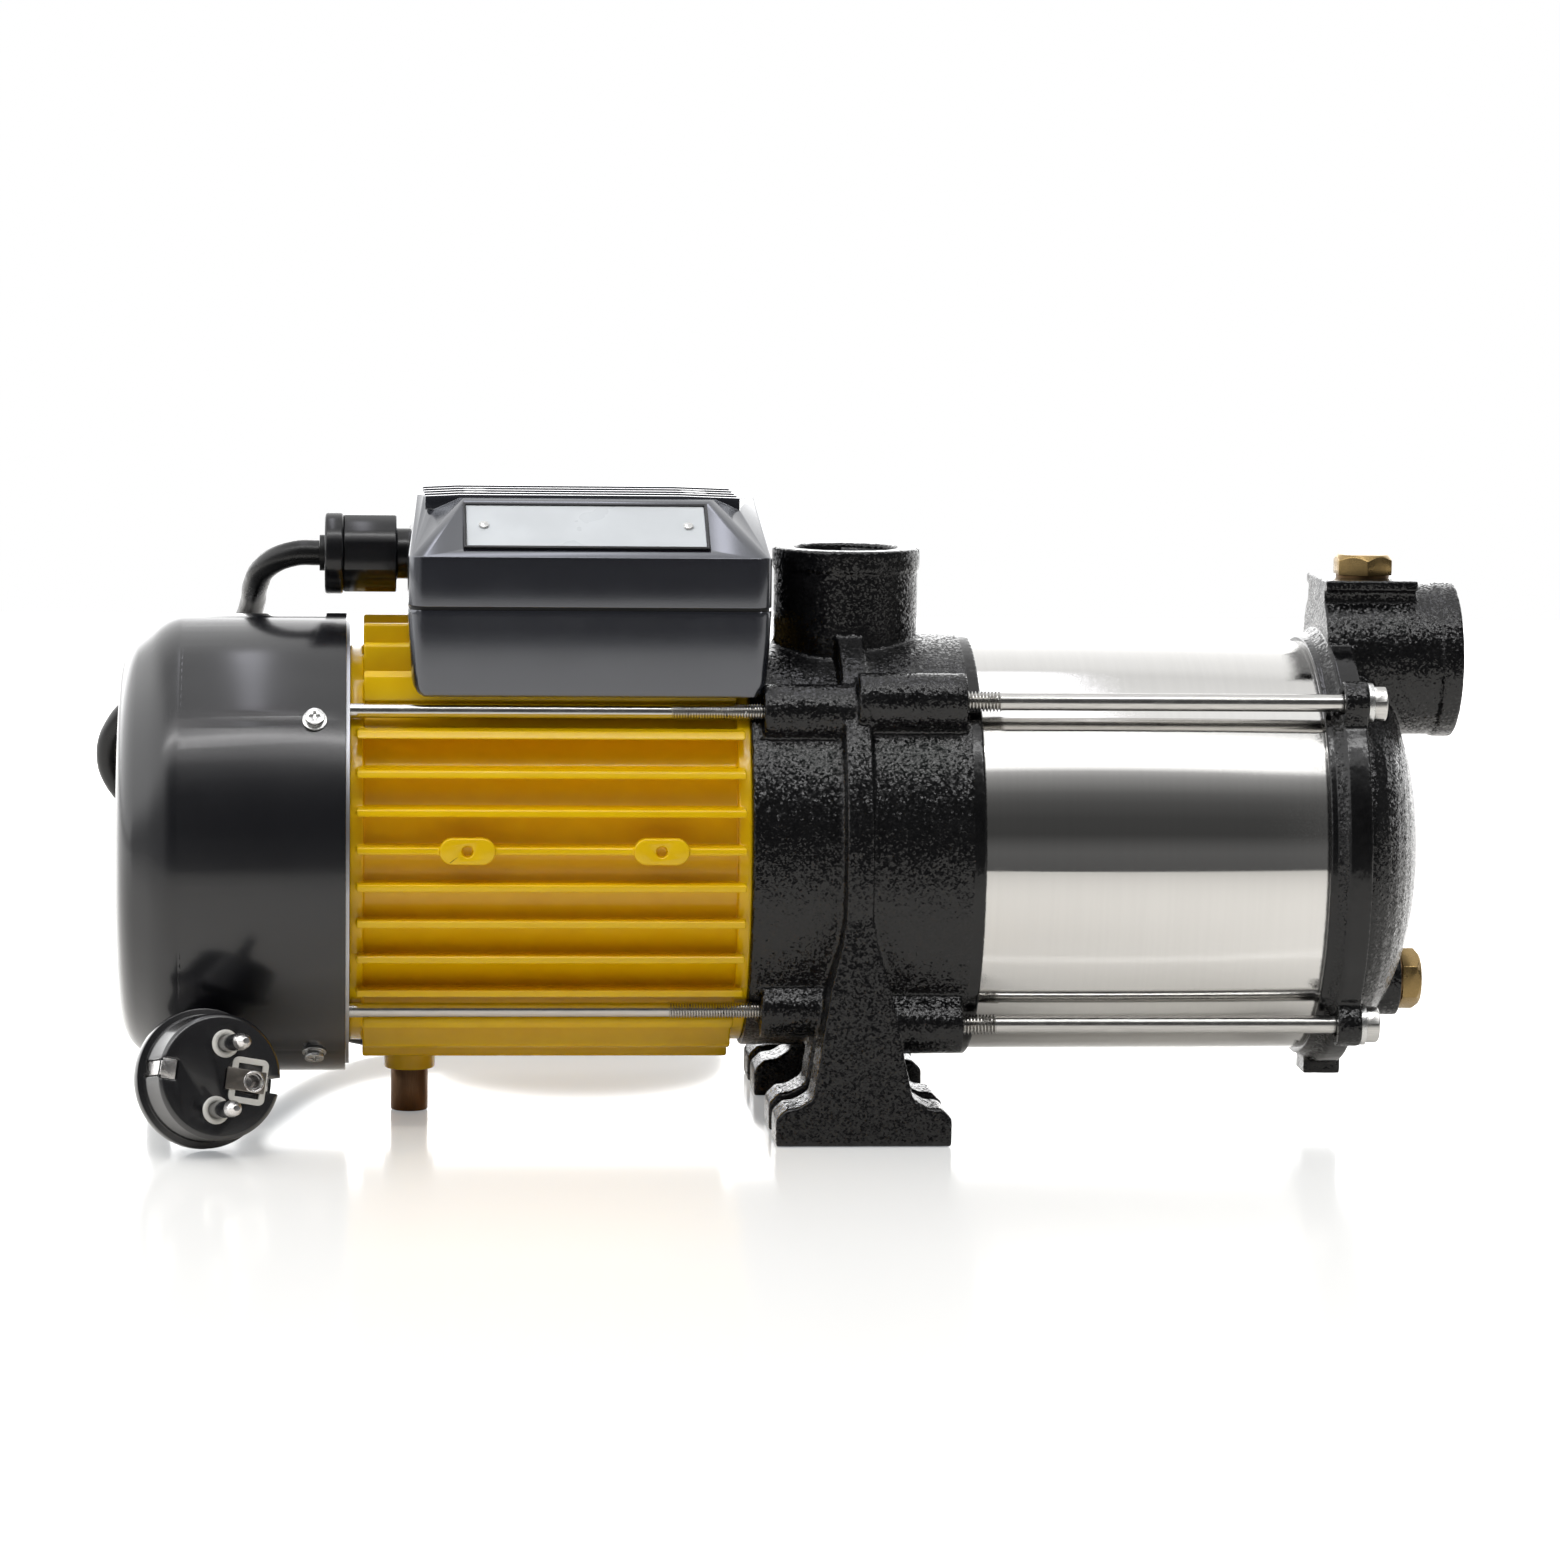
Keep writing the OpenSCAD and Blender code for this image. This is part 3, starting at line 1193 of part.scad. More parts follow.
module terminal_block() color("#e2dfd6") translate([box_mid_x, block_terminal_y, axis_h + block_seat_h])
    difference() {
        centred_plate(block_terminal_len, block_terminal_w, block_terminal_h);
        for (i = [-1 : 1], sy = [-1, 1])
            translate([i * terminal_pitch, sy * block_terminal_w / 4, block_terminal_h / 2])
                cylinder(h = block_terminal_h, r = terminal_hole_r);
    }

module run_capacitor() color("#dfe2e4")
    disc_x(box_mid_x - capacitor_len / 2, box_mid_x + capacitor_len / 2, capacitor_r, capacitor_y,
        block_seat_h + capacitor_r + fit);

// Cable gland
module cable_gland_body() color("#1d1f22") difference() {
    union() {
        disc_x(gland_x - gland_neck_len, gland_x + gland_stub_len, gland_neck_r, 0, gland_h);
        along_x(gland_x - gland_neck_len - gland_hex_len, 0, gland_h) intersection() {
            hex(gland_hex_len, gland_hex_flat);
            cylinder(h = gland_hex_len, r = gland_hex_flat / 2 + collar_step);
        }
        along_x(gland_x + 2.5 * box_wall, 0, gland_h) hex(gland_neck_len, 2.3 * gland_neck_r);
    }
    disc_x(gland_x - gland_neck_len - gland_hex_len - over, gland_x + gland_stub_len + over,
        cord_d / 2 + gland_bore_fit, 0, gland_h);
}

gland_nut_x1 = gland_x - gland_neck_len - gland_hex_len;

module cable_gland_nut() color("#1d1f22") difference() {
    along_x(gland_nut_x1 - gland_nut_len, 0, gland_h) cylinder(h = gland_nut_len, r = gland_nut_r);
    disc_x(gland_nut_x1 - gland_nut_len - over, gland_nut_x1 + over, cord_d / 2 + 2 * gland_bore_fit, 0,
        gland_h);
}

module cable_gland_seal() color("#141414")
    disc_x(gland_end_x, gland_nut_x1, cord_d / 2 + 2 * gland_bore_fit - fit, 0, gland_h);

// Mains lead
cord_r = cord_d / 2;
cord_sides = 8;

module smooth_tube(p) swept_tube(rounded(p), cord_r, cord_sides);

// Even curve through the chosen points, with one point added between two neighbours
function between(p, i) =
    let (a = p[max(i - 1, 0)], b = p[i], c = p[i + 1], d = p[min(i + 2, len(p) - 1)])
    (9 * (b + c) - a - d) / 16;

function rounded(p) = concat(
    [for (i = [0 : len(p) - 2]) each (i == 0 || i == len(p) - 2 ? [p[i]] : [p[i], between(p, i)])],
    [p[len(p) - 1]]);

module power_cord_lead() color("#141414") smooth_tube(lead_points);

module power_cord_tail() color("#141414") smooth_tube(tail_points);

// Coil: in along the lower layer, a climb in the half turn at its middle, out along the upper one
coil_pitch = cord_d + 0.09 * cord_d;
coil_rings = 24;
coil_sides = 6;
coil_layer = cord_d + 0.085 * cord_d;

function coil_r(t) = coil_mid_d / 2 + coil_pitch * (abs(t - coil_turns / 2) - coil_turns / 4);

function coil_climb(t) = min(1, max(0, (t - coil_turns / 2) * 2 + 0.5));

function coil_point(t) = coil_centre + [coil_r(t) * cos(360 * t - 90), coil_r(t) * sin(360 * t - 90),
    coil_layer * (1 - cos(180 * coil_climb(t))) / 2];

// A straight length of one diameter stands at each end, square to the part it meets
coil_path = concat(
    [coil_point(0) - [cord_d, 0, 0]],
    [for (i = [0 : coil_turns * coil_rings]) coil_point(i / coil_rings)],
    [coil_point(coil_turns) - [cord_d, 0, 0]]);

// Least gap of the coil to itself, measured between points over half a turn apart
coil_gap = min([for (i = [0 : len(coil_path) - 1], k = [i + coil_rings / 2 : len(coil_path) - 1])
    norm(coil_path[i] - coil_path[k])]) - cord_d;

module power_cord_coil() color("#141414") swept_tube(coil_path, cord_r, coil_sides);

// Plug, modelled along +Z with its face at zero, then laid down
module place_plug() translate([plug_x, plug_y, plug_z])
    rotate([0, 0, plug_yaw]) rotate([90 - plug_lift, 0, 0]) rotate([0, 0, plug_roll]) children();

module plug_body() color("#161616") place_plug() difference() {
    rotate_extrude() polygon([
        [0, 0], [plug_r - end_round / 2, 0], [plug_r, -end_round / 2], [plug_r, -plug_face_h],
        [plug_flange_r, -plug_face_h], [plug_flange_r, -plug_face_h - plug_flange_t],
        [plug_waist_r, -plug_face_h - 2 * plug_flange_t],
        [plug_waist_r, plug_neck_len - plug_len], [plug_tail_r + end_round, plug_neck_len - plug_len],
        [plug_tail_r, -plug_len], [0, -plug_len]
    ]);
    for (n = plug_notches) translate([n[0] * plug_r, 0, -plug_face_h / 2 + over / 2])
        cube([2 * n[1], plug_notch_w, plug_face_h + over], center = true);
    translate([-clip_seat_r - over, -clip_fold_w / 2, -clip_plate_t])
        cube([clip_fold_len + over, clip_fold_w, clip_plate_t + over]);
    for (sy = [-1, 1]) translate([0, sy * pin_spacing / 2, -pin_seat])
        cylinder(h = pin_seat + over, r = pin_r + fit);
    translate([earth_offset, 0, -pin_seat]) cylinder(h = pin_seat + over, r = earth_socket_r);
}

module plug_pins() color("silver") place_plug() for (sy = [-1, 1])
    translate([0, sy * pin_spacing / 2, -pin_seat]) {
        cylinder(h = pin_seat + pin_tip_share * pin_len, r = pin_r);
        translate([0, 0, pin_seat + pin_tip_share * pin_len]) rotate_extrude() polygon([
            [0, 0], [pin_r, 0], [pin_r * 0.85, (1 - pin_tip_share) * pin_len * 0.6],
            [pin_r * 0.4, (1 - pin_tip_share) * pin_len], [0, (1 - pin_tip_share) * pin_len]
        ]);
    }

module plug_earth_clips() color("silver") place_plug() {
    for (n = plug_notches) translate([n[0] * (plug_r - n[1] + clip_plate_t / 2), 0,
        -plug_face_h / 2]) cube([clip_plate_t - fit, clip_w, plug_face_h - fit], center = true);
    translate([-clip_seat_r - clip_plate_t / 2, -clip_fold_w / 2 + fit, -clip_plate_t + fit])
        cube([clip_fold_len, clip_fold_w - 2 * fit, clip_plate_t - 1.5 * fit]);
    translate([earth_offset, 0, -pin_seat + fit]) difference() {
        cylinder(h = pin_seat, r = earth_socket_r - run_fit);
        translate([0, 0, over]) cylinder(h = pin_seat, r = earth_socket_r - run_fit - clip_plate_t / 2);
    }
}

echo(coil_gap = coil_gap, coil_least_gap_allowed = 0.4);

fan_cover();
fan_cover_screws();
fan_cover_washers();
cooling_fan();
fan_clip();
rear_end_shield();
rear_bearing_outer();
rear_bearing_inner();
rear_bearing_balls();
rear_bearing_cage();
motor_housing();
motor_foot();
motor_foot_screw();
stator_core();
stator_windings();
rotor_core();
rotor_cage();
shaft();
front_bearing_outer();
front_bearing_inner();
front_bearing_balls();
front_bearing_cage();
motor_tie_bolts();
terminal_box_base();
terminal_box_gasket();
terminal_box_lid();
terminal_box_screws();
terminal_block();
run_capacitor();
nameplate();
nameplate_rivets();
cable_gland_body();
cable_gland_seal();
cable_gland_nut();
power_cord_lead();
power_cord_coil();
power_cord_tail();
plug_body();
plug_pins();
plug_earth_clips();
pump_bracket();
water_slinger();
seal_stationary_ring();
seal_rotating_ring();
seal_spring();
rear_barrel_gasket();
pump_barrel();
front_barrel_gasket();
stage_diffusers();
impellers();
impeller_spacers();
impeller_nut();
suction_cover();
pump_tie_bolts();
pump_tie_washers();
priming_plug();
priming_plug_washer();
drain_plug();
drain_plug_washer();
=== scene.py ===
"""Looks of a horizontal multistage pump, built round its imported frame."""

import json
from math import atan, cos, pi, radians, sin

import bpy
from mathutils import Matrix, Vector

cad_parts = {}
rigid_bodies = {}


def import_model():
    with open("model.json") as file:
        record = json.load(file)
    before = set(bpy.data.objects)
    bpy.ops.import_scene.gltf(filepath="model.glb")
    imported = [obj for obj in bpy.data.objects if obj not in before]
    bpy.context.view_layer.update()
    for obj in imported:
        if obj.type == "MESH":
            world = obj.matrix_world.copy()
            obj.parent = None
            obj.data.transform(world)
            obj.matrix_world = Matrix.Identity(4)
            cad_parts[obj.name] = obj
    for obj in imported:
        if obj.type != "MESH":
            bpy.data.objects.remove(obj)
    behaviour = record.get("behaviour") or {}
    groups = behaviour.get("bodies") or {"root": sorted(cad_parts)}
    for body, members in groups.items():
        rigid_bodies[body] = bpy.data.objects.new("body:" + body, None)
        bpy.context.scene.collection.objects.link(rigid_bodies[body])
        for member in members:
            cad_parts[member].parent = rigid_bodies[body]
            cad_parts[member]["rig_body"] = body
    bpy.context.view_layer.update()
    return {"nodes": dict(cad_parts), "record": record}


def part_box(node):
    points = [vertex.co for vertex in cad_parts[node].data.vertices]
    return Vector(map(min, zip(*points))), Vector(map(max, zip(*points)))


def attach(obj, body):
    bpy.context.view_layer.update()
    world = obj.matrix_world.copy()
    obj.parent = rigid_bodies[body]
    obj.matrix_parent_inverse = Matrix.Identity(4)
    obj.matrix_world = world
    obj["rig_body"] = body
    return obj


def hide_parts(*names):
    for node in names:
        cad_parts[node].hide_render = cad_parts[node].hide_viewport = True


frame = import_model()
nodes = frame["nodes"]
record = frame["record"]
scene = bpy.context.scene
scene.view_settings.view_transform = "Standard"
slot_of = {part["node"]: part["material_slot"] for part in record["subparts"]}
MM = 0.001

# Places and sizes of the real pump, in millimetres
SHAFT_Z = 80

# The cord's coil behind the motor
CORD_D = 7.5
COIL_CENTRE = (-75, 155, 3.75)
COIL_MID_D = 82
COIL_TURNS = 3.5
COIL_PITCH = 1.09 * CORD_D
COIL_LAYER = 1.085 * CORD_D
COIL_STEPS = 24

# Ports
OUTLET_X = -1.6
OUTLET_TOP = 168.5
SUCTION_Z = 136
SUCTION_X = 180.5
PORT_R = 15.15
PORT_THREAD = 20
PORT_LEAD_IN = 1.5
G1_PITCH = 2.309
G1_ROOT_R = PORT_R + 0.25
G1_CREST_R = PORT_R - 0.55
G1_SLEEVE_T = 0.4

# Tie rods
ROD_ANGLES = (45, 135, 225, 315)
ROD_THREAD_REACH = 26
ROD_THREAD_HIDDEN = 8
ROD_OVERLAP = 1
PUMP_ROD_CIRCLE = 66.8
PUMP_ROD_R = 2.95
PUMP_ROOT_R = 2.1
PUMP_SHANK_R = 2.6
PUMP_HEAD_AF = 10
PUMP_HEAD_H = 4
M6_PITCH = 1.0
MOTOR_ROD_CIRCLE = 61.5
MOTOR_ROD_R = 2.45
MOTOR_ROOT_R = 1.95
MOTOR_SHANK_R = 2.1
MOTOR_HEAD_R = 3.5
MOTOR_HEAD_H = 3.5
MOTOR_ROD_BURIED = 16
M5_PITCH = 0.8

# Fan cover: what is cut off its corner, and the two sweeps of the new one
COVER_R = 67.5
COVER_WALL = 2
COVER_CUT = [(-220, 46), (-220, 72), (-197, 72), (-197, 60), (-209, 46)]
COVER_SHOULDER = [(-196, COVER_R), (-201, COVER_R), (-205.5, 64.1)]
COVER_NOSE = [(-209.3, 61.3), (-215, 57), (-215, 46)]

# Castings
FLANGE_R = 65.4
FLANGE_X0 = 139.5
EAR_R = 9
TRIMMED_EAR_R = 6.4
EAR_SKIN = 0.3
SUCTION_RING = [
    (134.7, 57), (134.7, 62.6), (136.6, 62.8), (139.6, 64.6),
    (139.9, FLANGE_R), (146.5, FLANGE_R), (146.5, 57),
]
BRACKET_JOINT = (31.2, 35.2)
COVER_JOINT = (134, 136.8)
FLANGE_BAND = (139.6, 147)
FLANGE_BAND_R = (60.5, FLANGE_R + 0.3)
FEET_Z = 26
FEET_BLEND = 4
FEET_ROUNDS = 5
SKIN_SIZE = 2.5
SKIN_DEPTH = 0.12

# Terminal box
BOX_MID_X = -79.25
BOX_W = 100
BOX_TURN_Z = 148
BOX_TURN_R = 120
BOX_END_SHARE = 0.35
BOX_LOW_Z = 134
BOX_LOW_BLEND = 4
BOX_LOW_ROUNDS = 24
RIDGE_W = 50
LID_BAND_Z = 168.4
RIDGE_Z = 181.6
RIB_H = 3
RIDGE_LIFT = 2.0
LID_RISE = RIDGE_Z + RIDGE_LIFT - LID_BAND_Z
PLATE_LEN = 69
PLATE_W = 20.5
PLATE_T = 0.6
PLATE_SHIFT = -1
PLATE_SHARE = 0.52
PLATE_SINK = 0.4
FRAME_ROOM = 1.9
FRAME_W = 0.9
FRAME_H = 1.1

# Plug, its pins and its earth contact
PLUG_AT = (-184, -80, 23.16)
PLUG_YAW = 19.5
PLUG_LIFT = 11
PLUG_ROLL = -12
PIN_SPACING = 19
PIN_R = 2.4
PIN_LEN = 19
SLEEVE_SHARE = 0.76
COLLAR_R = PIN_R + 0.75
COLLAR_WIRE_R = 0.85
COLLAR_FLATNESS = 0.6
EARTH_SOCKET_R = 2.5
EARTH_OFFSET = 9.5
EARTH_RING_R = EARTH_SOCKET_R + 0.25
EARTH_RING_WIRE_R = 0.4
EARTH_RING_UP = 1.3
SURROUND_SIZE = (10.6, 13)
SURROUND_RIM = 1.7
SURROUND_OFFSET = 8.1
CONTACT_SIZE = (11.6, 6.2)
CONTACT_OFFSET = 7.1
CONTACT_UP = 0.75

LEAD_POINTS = [
    (-157, 0, 165.7), (-164, 0, 165.5), (-172, 4, 162), (-176, 15, 155), (-177, 28, 149),
    (-180, 41, 141), (-188, 53, 132), (-199, 62, 124), (-210.5, 68, 116), (-219, 72, 107.5),
    (-222.2, 75.5, 98), (-219.4, 79, 88.2), (-211, 82.5, 79.5), (-200.5, 86, 69),
    (-192.5, 89, 55.5), (-186.5, 92, 41), (-178.5, 95.5, 26.5), (-166, 99, 15),
    (-150, 102.4, 7.6), (-131, 105.2, 4.2), (-108, 106.7, 3.75), (-82.5, 106.8, 3.75),
]
TAIL_POINTS = [
    (-82.5, 203.2, 11.9), (-98, 203, 9.6), (-112, 202.2, 5.6), (-126, 200, 3.8),
    (-141, 195, 3.75), (-156, 186, 3.75), (-170, 173, 3.75), (-181, 157, 3.75),
    (-189, 138, 3.75), (-194, 117, 3.75), (-197, 95, 3.75), (-199.5, 72, 3.75),
    (-201.5, 49, 3.75), (-203.3, 27, 3.9), (-204.2, 9, 5), (-204.2, -7, 7.7),
    (-203, -21, 10.7), (-201.2, -31.4, 13.2), (-199.1, -37.4, 14.4),
]


# Working on meshes

def select_only(*pieces):
    if bpy.context.object and bpy.context.object.mode != "OBJECT":
        bpy.ops.object.mode_set(mode="OBJECT")
    bpy.ops.object.select_all(action="DESELECT")
    for piece in pieces:
        piece.select_set(True)
    bpy.context.view_layer.objects.active = pieces[0]


def edit(piece):
    select_only(piece)
    bpy.ops.object.mode_set(mode="EDIT")
    bpy.ops.mesh.select_all(action="SELECT")


def leave_edit():
    bpy.ops.object.mode_set(mode="OBJECT")


def apply_modifier(piece, kind, **settings):
    select_only(piece)
    modifier = piece.modifiers.new(kind.title(), kind)
    for key, value in settings.items():
        setattr(modifier, key, value)
    bpy.ops.object.modifier_apply(modifier=modifier.name)


def settle(piece):
    """Puts a piece's place into its mesh."""
    select_only(piece)
    bpy.ops.object.transform_apply(location=True, rotation=True, scale=True)


def mount(piece, body, slot, material, *replaced):
    """Names what a finished piece rides on, its finish and the nodes it stands for. Its slot is not used."""
    if material:
        piece.data.materials.clear()
        piece.data.materials.append(material)
    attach(piece, body)
    if replaced:
        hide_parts(*replaced)
    return piece


def own_copy(name, node):
    """A merged copy of a node's mesh, with its flat faces joined up."""
    piece = bpy.data.objects.new(name, nodes[node].data.copy())
    scene.collection.objects.link(piece)
    edit(piece)
    bpy.ops.mesh.remove_doubles(threshold=0.01 * MM)
    bpy.ops.mesh.dissolve_limited(angle_limit=radians(0.3))
    bpy.ops.mesh.customdata_custom_splitnormals_clear()
    leave_edit()
    return piece


def smooth(piece, angle=None):
    """Smooths all of a piece, or only where its faces meet at less than an angle in degrees."""
    select_only(piece)
    if angle:
        bpy.ops.object.shade_smooth_by_angle(angle=radians(angle))
    else:
        bpy.ops.object.shade_smooth()


def soften(piece, width, segments=2):
    """Rounds the edges of a piece and smooths its curved faces."""
    apply_modifier(piece, "BEVEL", width=width * MM, segments=segments, limit_method="ANGLE",
        angle_limit=radians(28), use_clamp_overlap=False, miter_outer="MITER_ARC")
    smooth(piece, 32)


def soft_copy(name, node, width, material, segments=2):
    """A node's own shape with its edges rounded."""
    piece = own_copy(name, node)
    soften(piece, width, segments)
    return mount(piece, nodes[node]["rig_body"], slot_of[node], material, node)


def bevel_where(piece, test, width, segments):
    """Rounds the edges whose two ends both pass a test, given in millimetres."""
    select_only(piece)
    mesh = piece.data
    passed = [test(vertex.co / MM) for vertex in mesh.vertices]
    for polygon in mesh.polygons:
        polygon.select = False
    for vertex in mesh.vertices:
        vertex.select = False
    for edge in mesh.edges:
        edge.select = passed[edge.vertices[0]] and passed[edge.vertices[1]]
    bpy.ops.object.mode_set(mode="EDIT")
    bpy.ops.mesh.select_mode(type="EDGE")
    bpy.ops.mesh.bevel(offset=width * MM, segments=segments, affect="EDGES")
    leave_edit()


def cylinder_x(name, x0, x1, radius, sides=32):
    """A turned piece along the shaft direction, centred on the origin's axis."""
    bpy.ops.mesh.primitive_cylinder_add(vertices=sides, radius=radius * MM, depth=(x1 - x0) * MM,
        location=((x0 + x1) / 2 * MM, 0, 0), rotation=(0, pi / 2, 0))
    piece = bpy.context.object
    piece.name = name
    settle(piece)
    return piece


def torus(name, radius, wire_radius, place):
    """A ring round the upright through its own middle."""
    bpy.ops.mesh.primitive_torus_add(major_radius=radius * MM, minor_radius=wire_radius * MM,
        major_segments=40, minor_segments=12, location=[value * MM for value in place])
    piece = bpy.context.object
    piece.name = name
    settle(piece)
    return piece


def thread_x(name, x0, x1, root_r, crest_r, pitch, steps=20):
    """A screw thread along the shaft direction, wound from one tooth."""
    bpy.ops.mesh.primitive_plane_add(size=1)
    piece = bpy.context.object
    piece.name = name
    edit(piece)
    bpy.ops.mesh.delete(type="ONLY_FACE")
    bpy.ops.mesh.select_all(action="SELECT")
    leave_edit()
    tooth = [(root_r, 0), (crest_r, 0.4 * pitch), (crest_r, 0.6 * pitch), (root_r, pitch)]
    mesh = piece.data
    order = [0, 1, 3, 2]
    for place, (radius, along) in zip(order, tooth):
        mesh.vertices[place].co = (along * MM, radius * MM, 0)
    edit(piece)
    bpy.ops.mesh.select_all(action="DESELECT")
    leave_edit()
    for edge in mesh.edges:
        edge.select = set(edge.vertices) == {order[0], order[3]}
    bpy.ops.object.mode_set(mode="EDIT")
    bpy.ops.mesh.select_mode(type="EDGE")
    bpy.ops.mesh.delete(type="EDGE")
    leave_edit()
    turns = round((x1 - x0) / pitch) - 1
    apply_modifier(piece, "SCREW", axis="X", screw_offset=pitch * MM, iterations=turns,
        steps=steps, render_steps=steps, use_merge_vertices=True, merge_threshold=0.005 * MM)
    for vertex in piece.data.vertices:
        vertex.co.x += x0 * MM
    return piece


def capped(piece):
    """A wound piece with its open ends closed."""
    edit(piece)
    bpy.ops.mesh.select_all(action="DESELECT")
    bpy.ops.mesh.select_mode(type="VERT")
    bpy.ops.mesh.select_non_manifold()
    bpy.ops.mesh.fill()
    bpy.ops.mesh.select_all(action="SELECT")
    bpy.ops.mesh.normals_make_consistent(inside=False)
    leave_edit()
    return piece


def turned(name, profile, sides=96):
    """A closed piece turned round the shaft from a closed profile of (along, radius) points."""
    bpy.ops.mesh.primitive_circle_add(vertices=len(profile), radius=1)
    piece = bpy.context.object
    piece.name = name
    settle(piece)
    for vertex, (along, radius) in zip(piece.data.vertices, profile):
        vertex.co = (along * MM, radius * MM, 0)
    apply_modifier(piece, "SCREW", axis="X", steps=sides, render_steps=sides, use_merge_vertices=True,
        merge_threshold=0.005 * MM)
    edit(piece)
    bpy.ops.mesh.normals_make_consistent(inside=False)
    leave_edit()
    piece.data.transform(Matrix.Translation((0, 0, SHAFT_Z * MM)))
    return piece


def round_corner(start, corner, end, steps=8):
    """An even curve from start to end that is drawn towards the corner."""
    points = []
    for step in range(steps + 1):
        t = step / steps
        points.append(tuple((1 - t) ** 2 * a + 2 * t * (1 - t) * b + t * t * c
            for a, b, c in zip(start, corner, end)))
    return points


def cut(piece, tool):
    """Takes one piece out of another, and uses it up."""
    apply_modifier(piece, "BOOLEAN", object=tool, operation="DIFFERENCE", solver="EXACT")
    bpy.data.objects.remove(tool)


def join(name, *pieces):
    select_only(*pieces)
    bpy.ops.object.join()
    bpy.context.object.name = name
    return bpy.context.object


def copies_round_shaft(piece, circle, angles):
    """One piece on each place of a bolt circle, each with its own mesh."""
    made = []
    for index, angle in enumerate(angles):
        copy = piece.copy()
        copy.data = piece.data.copy()
        copy.name = f"{piece.name}_{index + 1}"
        scene.collection.objects.link(copy)
        place = Vector((0, circle * cos(radians(angle)), SHAFT_Z + circle * sin(radians(angle))))
        copy.data.transform(Matrix.Translation(place * MM))
        made.append(copy)
    bpy.data.objects.remove(piece)
    return made


# Finishes

def add_node(tree, kind, settings=None, **inputs):
    node = tree.nodes.new("ShaderNode" + kind)
    for key, value in (settings or {}).items():
        setattr(node, key, value)
    for key, value in inputs.items():
        socket = node.inputs[key.replace("_", " ")]
        if isinstance(value, bpy.types.NodeSocket):
            tree.links.new(value, socket)
        else:
            socket.default_value = value
    return node


def calculate(tree, operation, first, second=0.0):
    node = tree.nodes.new("ShaderNodeMath")
    node.operation = operation
    for socket, value in zip(node.inputs, (first, second)):
        if isinstance(value, bpy.types.NodeSocket):
            tree.links.new(value, socket)
        else:
            socket.default_value = value
    return node.outputs[0]


def rescale(tree, value, low, high, to_low, to_high, shape="SMOOTHSTEP"):
    node = add_node(tree, "MapRange", {"interpolation_type": shape}, Value=value)
    for name, number in zip(("From Min", "From Max", "To Min", "To Max"), (low, high, to_low, to_high)):
        node.inputs[name].default_value = number
    return node.outputs[0]


def place_of(tree, stretch=(1, 1, 1)):
    """A piece's own coordinates, stretched where a pattern runs one way."""
    source = add_node(tree, "TexCoord").outputs["Object"]
    if stretch == (1, 1, 1):
        return source
    return add_node(tree, "Mapping", Vector=source, Scale=stretch).outputs[0]


def grain(tree, size, detail=2.0, stretch=(1, 1, 1)):
    """Noise whose marks are about this size in millimetres."""
    return add_node(tree, "TexNoise", Vector=place_of(tree, stretch), Scale=1 / (size * MM), Detail=detail,
        Roughness=0.5).outputs["Fac"]


def patches(tree, pattern):
    """A pattern's middle range, spread over 0 to 1."""
    return rescale(tree, pattern, 0.3, 0.7, 0.0, 1.0)


def even_colour(tree, level):
    """The same level in all three channels."""
    return add_node(tree, "CombineXYZ", X=level, Y=level, Z=level).outputs[0]


def blend(tree, share, first, second):
    node = tree.nodes.new("ShaderNodeMix")
    node.data_type = "RGBA"
    for socket, value in zip((node.inputs[0], node.inputs[6], node.inputs[7]), (share, first, second)):
        if isinstance(value, bpy.types.NodeSocket):
            tree.links.new(value, socket)
        else:
            socket.default_value = (*value, 1)
    return node.outputs[2]


def raise_by(tree, height, depth, under=None):
    """Relief of this depth in millimetres, laid over another one where given."""
    node = add_node(tree, "Bump", Height=height, Distance=depth * MM, Strength=1.0)
    if under:
        tree.links.new(under, node.inputs["Normal"])
    return node.outputs[0]


def finish(name, colour, roughness, metallic=0.0, coat=0.0, coat_roughness=0.1, ior=1.5, tint=None):
    """A new material, its nodes and its shader with these settings."""
    material = bpy.data.materials.new(name)
    material.use_nodes = True
    shader = material.node_tree.nodes["Principled BSDF"]
    shader.inputs["Base Color"].default_value = (*colour, 1)
    shader.inputs["Roughness"].default_value = roughness
    shader.inputs["Metallic"].default_value = metallic
    shader.inputs["Coat Weight"].default_value = coat
    shader.inputs["Coat Roughness"].default_value = coat_roughness
    shader.inputs["IOR"].default_value = ior
    if tint:
        shader.inputs["Specular Tint"].default_value = (*tint, 1)
    return material, material.node_tree, shader


def connect(tree, shader, **inputs):
    for key, value in inputs.items():
        tree.links.new(value, shader.inputs[key.replace("_", " ")])


def within(tree, value, low, high, soft=0.0004):
    """1 where a value lies between two limits, 0 elsewhere."""
    above = rescale(tree, value, low - soft, low + soft, 0.0, 1.0)
    return calculate(tree, "MULTIPLY", above, rescale(tree, value, high - soft, high + soft, 1.0, 0.0))


